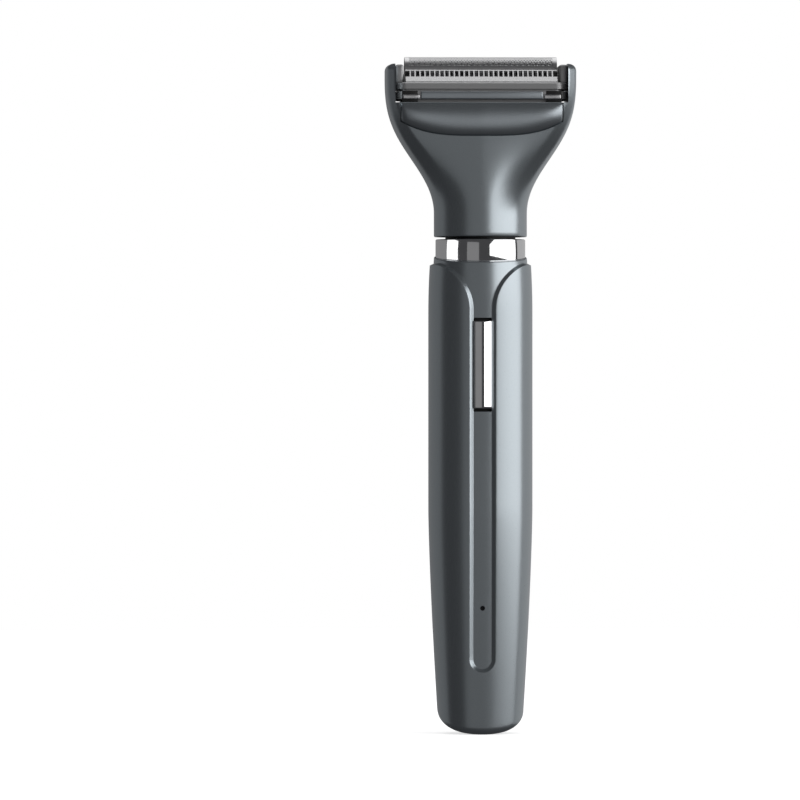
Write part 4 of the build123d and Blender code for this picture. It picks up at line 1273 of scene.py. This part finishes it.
@dataclass
class Cartridge:
    """The foil cartridge's frame, end caps, trim bars and tabs."""

    corner: float = 3.0
    inner: tuple[float, float] = (18.85, 7.2)
    ledge: tuple[float, float] = (3.65, 4.15)
    edge: float = 0.25
    inner_corner: float = 0.3
    frame_soft: float = 28.0
    cap_inner: float = 19.05
    cap_edge: float = 0.55
    tab_length: float = 4.1
    tab_depth: float = 0.6
    # Place and thickness of the thin black sheets that paint shade beside the tabs.
    tab_shade_y: float = 8.65
    tab_shade_depth: float = 0.2

    def frame(self) -> None:
        """Makes the frame with its shadow lines."""
        low, high = node_span("cartridge_frame")
        half_x, half_y = high[0], high[1]
        z0 = low[2]
        profile = [
            (0.0, 1.0), (4.6, 1.4), (4.6, 0.1), (4.7, 0.0), (6.5, 0.0), (6.52, 1.0),
            (7.02, 1.0), (7.04, 0.1), (7.15, 0.0), (8.5, 0.0), (8.7, 0.25),
        ]
        rows = []
        for up, inset in profile:
            loop = rounded_loop(half_x - inset, half_y - inset, self.corner - inset)
            rows.append([(x, y, z0 + up) for x, y in loop])
        inner_x, inner_y = self.inner
        loop = rounded_loop(inner_x, inner_y, self.inner_corner)
        rows += [[(x, y, z0 + up) for x, y in loop] for up in (profile[-1][0], 0.0)]
        rows.append(rows[0])
        shell = Shell()
        shell.grid(rows, closed=True)
        near, far = self.ledge
        for side in (-1, 1):
            ys = sorted((side * near, side * far))
            eased_box(
                shell, (-inner_x - 0.2, ys[0], z0 + 8.1), (inner_x + 0.2, ys[1], z0 + 10.8), 0.1
            )
        body = shell.build("cartridge_body", self.frame_soft)
        place(body, "grey_plastic", "foil_cartridge", "cartridge_frame")

    def caps(self) -> None:
        """Makes the caps that hold the foil's ends."""
        low, high = node_span("end_caps")
        shell = Shell()
        for side in (-1, 1):
            xs = sorted((side * self.cap_inner, side * high[0]))
            eased_box(
                shell, (xs[0], low[1], low[2] - 0.2), (xs[1], high[1], high[2]), self.cap_edge
            )
        caps = shell.build("foil_end_caps", CRISP_BOX_ANGLE)
        place(caps, "grey_plastic", "foil_cartridge", "end_caps")

    def trims(self) -> None:
        """Makes the bright bars and tabs along the frame, and black sheets of painted shade by the
        tabs and combs.
        """
        for end in ("front", "rear"):
            node = f"{end}_trim_bar"
            low, high = node_span(node)
            shell = Shell()
            eased_box(shell, low, high, self.edge)
            bar = shell.build(f"{end}_bright_bar", CRISP_BOX_ANGLE)
            place(bar, "guard_metallic", "foil_cartridge", node)
        low, high = node_span("trim_tabs")
        length, deep = self.tab_length, self.tab_depth
        shell = Shell()
        for side in (-1, 1):
            xs = sorted((side * (high[0] - length), side * high[0]))
            for ys in ((low[1], low[1] + deep), (high[1] - deep, high[1])):
                eased_box(shell, (xs[0], ys[0], low[2]), (xs[1], ys[1], high[2]), self.edge)
        tabs = shell.build("bright_tabs", CRISP_BOX_ANGLE)
        place(tabs, "brushed_bright", "foil_cartridge", "trim_tabs")
        # Painted shade: thin black sheets on the frame's faces round the tabs stand in for the
        # shade of pockets there; no recess is cut.
        tab_shade_sheets = Shell()
        for side in (-1, 1):
            xs = sorted((side * (high[0] - length + 0.5), side * (high[0] + 0.2)))
            for face in (-1, 1):
                ys = sorted((face * self.tab_shade_y, face * (self.tab_shade_y - self.tab_shade_depth)))
                eased_box(
                    tab_shade_sheets, (xs[0], ys[0], low[2] - 0.7), (xs[1], ys[1], high[2] + 0.85), 0.02
                )
        place(tab_shade_sheets.build("tab_painted_shade", CRISP_BOX_ANGLE), "chip_black", "foil_cartridge")
        # Painted shade: black sheets just behind the comb teeth stand in for the shadow in the gap
        # over the trimmer blades.
        shade = Shell()
        inner_x, z0 = self.inner[0] - 0.2, node_span("cartridge_frame")[0][2]
        for side in (-1, 1):
            ys = sorted((side * (self.ledge[1] + 0.02), side * (self.ledge[1] + 0.2)))
            eased_box(shade, (-inner_x, ys[0], z0 + 8.3), (inner_x, ys[1], z0 + 11.4), 0.05)
        place(shade.build("comb_painted_shade", CRISP_BOX_ANGLE), "chip_black", "foil_cartridge")

    def build(self) -> None:
        """Makes all of it."""
        self.frame()
        self.caps()
        self.trims()


@dataclass
class CuttingFaces:
    """The perforated foil and the toothed combs, from Geometry Nodes."""

    pitch: float = 0.7
    hole: float = 0.62
    radius: float = 3.6
    thickness: float = 0.1
    skirt: float = 2.2
    comb_pitch: float = 1.2
    tooth: float = 0.3
    comb_thickness: float = 0.35
    rail: float = 0.42

    def foil(self) -> None:
        """Makes the foil: cells laid flat, bent over the arch and given their thickness."""
        low, high = node_span("foil")
        axis_z = high[2] - self.radius
        length = high[0] - low[0]
        rows = 15
        columns = int((length - 1.2) / self.pitch)
        strip = (length - (columns - 0.5) * self.pitch) / 2 + 0.1
        r = Recipe("perforated_foil")
        pitch = r.size("Pitch", self.pitch * MM)
        hole = r.size("Hole", self.hole)
        radius = r.size("Radius", self.radius * MM)
        axis = r.size("Axis Height", axis_z * MM)
        thick = r.size("Thickness", -self.thickness * MM)
        across = r.size("Columns", columns)
        deep = r.size("Rows", rows)
        span = r.calc("MULTIPLY", pitch, r.calc("SUBTRACT", across, 1.0))
        row_step = r.calc("MULTIPLY", pitch, math.sqrt(3) / 2)
        reach = r.calc("MULTIPLY", row_step, r.calc("SUBTRACT", deep, 1.0))
        lattice = r.sheet(span, reach, across, deep)
        number = r.node("GeometryNodeInputIndex", {}).outputs[0]
        odd = r.calc("MODULO", r.calc("MODULO", number, deep), 2.0)
        shift = r.calc("MULTIPLY", r.calc("SUBTRACT", odd, 0.5), r.calc("MULTIPLY", pitch, 0.5))
        lattice = r.node(
            "GeometryNodeSetPosition", {"Geometry": lattice, "Offset": r.vector(shift)}
        ).outputs[0]
        cell = r.node(
            "GeometryNodeMeshCircle",
            {"Vertices": 6, "Radius": r.calc("DIVIDE", pitch, math.sqrt(3))},
            fill_type="NGON",
        ).outputs[0]
        lifted = r.node("GeometryNodeExtrudeMesh", {"Mesh": cell, "Offset Scale": 0.0})
        middle_face = lifted.outputs["Top"]
        shrunk = r.node(
            "GeometryNodeScaleElements",
            {"Geometry": lifted.outputs["Mesh"], "Selection": middle_face, "Scale": hole},
        ).outputs[0]
        ring = r.node(
            "GeometryNodeDeleteGeometry",
            {"Geometry": shrunk, "Selection": middle_face},
            domain="FACE",
        ).outputs[0]
        cells = r.copies(lattice, ring, r.vector(0.0, 0.0, math.pi / 6))
        sheet = r.welded(r.node("GeometryNodeRealizeInstances", {0: cells}).outputs[0], 0.02)
        edge = r.calc("MULTIPLY", reach, 0.5)
        whole = r.calc("ADD", r.calc("MULTIPLY", radius, math.pi / 2), self.skirt * MM)
        bands = []
        for side in (-1.0, 1.0):
            wide = r.calc("SUBTRACT", whole, edge)
            middle = r.calc("MULTIPLY", r.calc("ADD", whole, edge), side / 2)
            bands.append(r.moved(r.sheet(length * MM, wide, 30, 24), r.vector(0.0, middle)))
        for side in (-1.0, 1.0):
            band = r.sheet(strip * MM, r.calc("MULTIPLY", edge, 2.0), 3, 48)
            bands.append(r.moved(band, (side * (length - strip) / 2 * MM, 0, 0)))
        holed = self.bent(r, sheet, radius, axis, 0.02 * MM)
        plain = self.bent(r, r.join(*bands), radius, axis, 0.0)
        solid = [self.thickened(r, part, thick) for part in (holed, plain)]
        piece = r.run("foil_mesh", r.join(*solid), FINISHES["foil_steel"])
        place(piece, "foil_steel", "foil_cartridge", "foil")

    def bent(
        self, r: Recipe, sheet: bpy.types.NodeSocket, radius: Any, axis: Any, inset: float
    ) -> bpy.types.NodeSocket:
        """Bends a flat sheet over the arch and down the skirts.

        Args:
            r: The tree.
            sheet: Flat sheet in X and Y.
            radius: Radius of the arch.
            axis: Height of the arch's axis.
            inset: Distance inside the radius.

        Returns:
            The bent sheet.
        """
        parts = r.node(
            "ShaderNodeSeparateXYZ", {0: r.node("GeometryNodeInputPosition", {}).outputs[0]}
        ).outputs
        angle = r.calc("DIVIDE", parts[1], radius)
        angle = r.calc("MINIMUM", r.calc("MAXIMUM", angle, -math.pi / 2), math.pi / 2)
        over = r.calc("ABSOLUTE", r.calc("SUBTRACT", parts[1], r.calc("MULTIPLY", angle, radius)))
        arm = r.calc("SUBTRACT", radius, inset)
        y = r.calc("MULTIPLY", arm, r.calc("SINE", angle))
        z = r.calc("ADD", axis, r.calc("MULTIPLY", arm, r.calc("COSINE", angle)))
        spot = r.vector(parts[0], y, r.calc("SUBTRACT", z, over))
        return r.node("GeometryNodeSetPosition", {"Geometry": sheet, "Position": spot}).outputs[0]

    def thickened(
        self, r: Recipe, sheet: bpy.types.NodeSocket, thick: bpy.types.NodeSocket
    ) -> bpy.types.NodeSocket:
        """Gives a sheet its thickness, inwards."""
        inner = r.node(
            "GeometryNodeExtrudeMesh",
            {"Mesh": sheet, "Offset Scale": thick, "Individual": False},
        ).outputs["Mesh"]
        return r.welded(r.join(sheet, inner), 0.005)

    def comb(self, name: str, node: str, turn: float) -> None:
        """Makes one comb: teeth on a slope, with a flange at their feet and a rail across.

        Args:
            name: Name of the piece.
            node: CAD node that it replaces.
            turn: Angle about Z, 0 for the front.
        """
        low, high = node_span("front_comb")
        foot = Vector((0, -7.3, low[2] + 0.1))
        head = Vector((0, -4.5, high[2] - 0.15))
        along = head - foot
        lean = math.atan2(-along.y, along.z)
        half = high[0]
        count = int(2 * half / self.comb_pitch)
        r = Recipe(name + "_teeth")
        pitch = r.size("Pitch", self.comb_pitch * MM)
        tooth = r.size("Tooth", self.tooth * MM)
        thick = r.size("Thickness", self.comb_thickness * MM)
        teeth = r.size("Teeth", count)
        middle = foot.lerp(head, 0.68) * MM
        start = r.calc("MULTIPLY", pitch, r.calc("MULTIPLY", r.calc("SUBTRACT", teeth, 1.0), -0.5))
        line = r.node(
            "GeometryNodeMeshLine",
            {
                "Count": teeth,
                "Start Location": r.vector(start, middle.y, middle.z),
                "Offset": r.vector(pitch),
            },
            mode="OFFSET",
        ).outputs[0]
        block = r.node(
            "GeometryNodeMeshCube", {"Size": r.vector(tooth, thick, along.length * 0.64 * MM)}
        ).outputs[0]
        rows = [r.copies(line, block, r.vector(lean))]
        rail_at = foot.lerp(head, self.rail / 2)
        bars = [
            ((2 * half, 1.1, 0.3), (0, foot.y - 0.4, low[2] + 0.15), 0.0),
            ((2 * half, 0.42, self.rail * along.length), rail_at, lean),
            ((2 * half, 0.3, 0.3), head - along.normalized() * 0.15, lean),
        ]
        for size, spot, tilt in bars:
            bar = r.node(
                "GeometryNodeMeshCube", {"Size": r.vector(*(s * MM for s in size))}
            ).outputs[0]
            rows.append(r.moved(bar, r.vector(*(s * MM for s in spot)), (tilt, 0, 0)))
        solid = r.node("GeometryNodeRealizeInstances", {0: r.join(*rows)}).outputs[0]
        piece = r.run(name, r.moved(solid, turn=(0, 0, turn)), FINISHES["brushed_bright"])
        place(piece, "brushed_bright", "foil_cartridge", node)

    def build(self) -> None:
        """Makes the foil and both combs."""
        self.foil()
        self.comb("front_comb_teeth", "front_comb", 0.0)
        self.comb("rear_comb_teeth", "rear_comb", math.pi)


def dress_carried_nodes() -> None:
    """Gives every CAD node that is still shown its slot's finish."""
    for part in frame["record"]["subparts"]:
        node = frame["nodes"][part["node"]]
        if node.hide_render:
            continue
        dress(node, part["material_slot"])
        log.info("%s: dressed as %s", node.name, part["material_slot"])


@dataclass
class Studio:
    """Floor, lights, world and camera."""

    distance: float = 2000.0
    yaw: float = -2.0
    target_right: float = -19.7
    target_z: float = 81.65
    view_width: float = 196.16
    sensor: float = 36.0
    reach: float = 2.0
    floor_radius: float = 0.9

    def direction(self, angle: float) -> Vector:
        """Level direction at an angle to the right of the camera, seen from the object."""
        turn = math.radians(angle)
        return Vector((math.sin(turn), -math.cos(turn), 0))

    def card(
        self, name: str, spot: Vector, aim: Vector, size: tuple[float, float], level: float
    ) -> bpy.types.Object:
        """Adds a rectangular light.

        Args:
            name: Name of the light.
            spot: Its middle, in metres.
            aim: Point that it faces.
            size: Width and height in metres.
            level: Brightness of its surface.

        Returns:
            The light.
        """
        light = bpy.data.lights.new(name, "AREA")
        light.shape = "RECTANGLE"
        light.size, light.size_y = size
        light.energy = level * size[0] * size[1] * math.pi
        made = bpy.data.objects.new(name, light)
        bpy.context.scene.collection.objects.link(made)
        made.location = spot
        made.rotation_euler = (aim - spot).to_track_quat("-Z", "Y").to_euler()
        made.visible_camera = False
        return made

    def floor(self) -> None:
        """Adds the pale floor."""
        mesh = bpy.data.meshes.new("floor")
        ring = [(self.floor_radius * math.cos(a), self.floor_radius * math.sin(a), 0)
                for a in full_turn(96)]
        mesh.from_pydata(ring, [], [tuple(range(len(ring)))])
        floor = bpy.data.objects.new("floor", mesh)
        bpy.context.scene.collection.objects.link(floor)
        finish = Finish(
            "pale_floor", (0.9, 0.9, 0.9), (0.88, 0.88, 0.88), roughness=0.8, grain=40.0,
            relief=0.0, glow=0.7,
        )
        mesh.materials.append(finish.material())
        floor.visible_glossy = False
        floor.visible_diffuse = False
        floor.visible_shadow = False

    def world(self) -> None:
        """Sets a white surround that lights the object only dimly."""
        world = bpy.data.worlds.new("studio")
        bpy.context.scene.world = world
        world.use_nodes = True
        tree = world.node_tree
        tree.nodes.clear()
        path = tree.nodes.new("ShaderNodeLightPath")
        seen = tree.nodes.new("ShaderNodeBackground")
        seen.inputs["Color"].default_value = (1, 1, 1, 1)
        dim = tree.nodes.new("ShaderNodeBackground")
        dim.inputs["Color"].default_value = (0.06, 0.06, 0.063, 1)
        blend = tree.nodes.new("ShaderNodeMixShader")
        out = tree.nodes.new("ShaderNodeOutputWorld")
        tree.links.new(path.outputs["Is Camera Ray"], blend.inputs["Fac"])
        tree.links.new(dim.outputs[0], blend.inputs[1])
        tree.links.new(seen.outputs[0], blend.inputs[2])
        tree.links.new(blend.outputs[0], out.inputs["Surface"])

    def upright(
        self, name: str, start: float, end: float, height: float, level: float,
        pieces: Sequence[str] = (),
    ) -> bpy.types.Object:
        """Adds an upright light that fills a range of angles round the object.

        Args:
            name: Name of the light.
            start: Angle of its left edge, in degrees to the right of the front.
            end: Angle of its right edge.
            height: Its height in metres.
            level: Brightness of its surface.
            pieces: Pieces that it lights, or none for all.

        Returns:
            The light.
        """
        width = 2 * self.reach * math.tan(math.radians(end - start) / 2)
        middle = Vector((0, 0, 0.1))
        spot = self.direction((start + end) / 2) * self.reach + middle
        return self.only(self.card(name, spot, middle, (width, height), level), pieces)

    def only(
        self, light: bpy.types.Object, pieces: Sequence[str], state: str = "INCLUDE"
    ) -> bpy.types.Object:
        """Limits a light to some pieces, or keeps it off them.

        Args:
            light: The light.
            pieces: Names of the pieces, or none to leave the light as it is.
            state: INCLUDE or EXCLUDE.

        Returns:
            The same light.
        """
        if pieces:
            group = bpy.data.collections.new(light.name)
            for piece in pieces:
                group.objects.link(bpy.data.objects[piece])
            for linked in group.collection_objects:
                linked.light_linking.link_state = state
            light.light_linking.receiver_collection = group
        return light

    def lights(self) -> None:
        """Adds the soft lights."""
        satin = ("grip_skin", "head_skin", "front_guard_bar", "rear_guard_bar")
        chrome = ("polished_ring", "press_bar_face")
        guards = ("front_guard_bar", "rear_guard_bar", "bright_tabs", "cartridge_body",
                  "foil_end_caps", "front_bright_bar", "front_comb_teeth", "foil_mesh")
        top = ("foil_mesh", "front_comb_teeth", "rear_comb_teeth", "cartridge_body",
               "foil_end_caps", "front_bright_bar")
        for name, height, tall, level, state in (
            ("right_softbox", 0.715, 1.77, 1.95, "EXCLUDE"),
            ("head_softbox", 1.02, 1.9, 2.6, "INCLUDE"),
        ):
            spot, aim = Vector((2, -2.3, height)), Vector((0, -2.3, height))
            self.only(self.card(name, spot, aim, (5.31, tall), level), ("head_skin",), state)
        self.upright("left_card", -37, -6, 1.5, 0.17)
        self.upright("left_card_chrome", -37, -6, 1.5, 0.36, chrome)
        self.upright("left_strip_chrome", -99, -63, 1.5, 1.5, chrome)
        self.upright("front_fill", -6, 20, 1.5, 0.13, satin)
        self.upright("rear_left", -180, -100, 1.5, 0.19)
        self.upright("rear_right", 108, 175, 1.5, 0.4)
        self.upright("guard_strip", -20, 20, 0.85, 0.35, guards)
        glow = self.card("top_glow", Vector((0, 1.2, 1.5)), Vector((0, 1.2, 0)), (2.6, 2.6), 1.3)
        self.only(glow, top)
        overhead = self.card("overhead", Vector((0, 0, 1.1)), Vector((0, 0, 0)), (2.4, 2.4), 0.8)
        overhead.visible_glossy = False

    def camera(self) -> None:
        """Adds the long lens, level with the middle of the view."""
        data = bpy.data.cameras.new("camera")
        camera = bpy.data.objects.new("camera", data)
        bpy.context.scene.collection.objects.link(camera)
        yaw = math.radians(self.yaw)
        right = Vector((math.cos(yaw), math.sin(yaw), 0))
        toward = Vector((math.sin(yaw), -math.cos(yaw), 0))
        target = right * self.target_right + Vector((0, 0, self.target_z))
        camera.location = (target + toward * self.distance) * MM
        camera.rotation_euler = (-toward).to_track_quat("-Z", "Y").to_euler()
        data.sensor_width = self.sensor
        data.lens = self.sensor * self.distance / self.view_width
        data.clip_end = 20
        bpy.context.scene.camera = camera

    def build(self) -> None:
        """Makes the whole studio."""
        self.floor()
        self.world()
        self.lights()
        self.camera()
        bpy.context.scene.view_settings.view_transform = "Standard"


def write_sizes() -> None:
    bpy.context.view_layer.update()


def main() -> None:
    """Builds the shaver's visible pieces, dresses the rest and sets up the studio."""
    head = HeadShell()
    makers: list[Callable[[], None]] = [
        GripSkin().build,
        GripTrim().build,
        head.build,
        Guards(head).build,
        Cartridge().build,
        CuttingFaces().build,
        dress_carried_nodes,
        Studio().build,
        write_sizes,
    ]
    for make in makers:
        make()


if __name__ == "__main__":
    main()
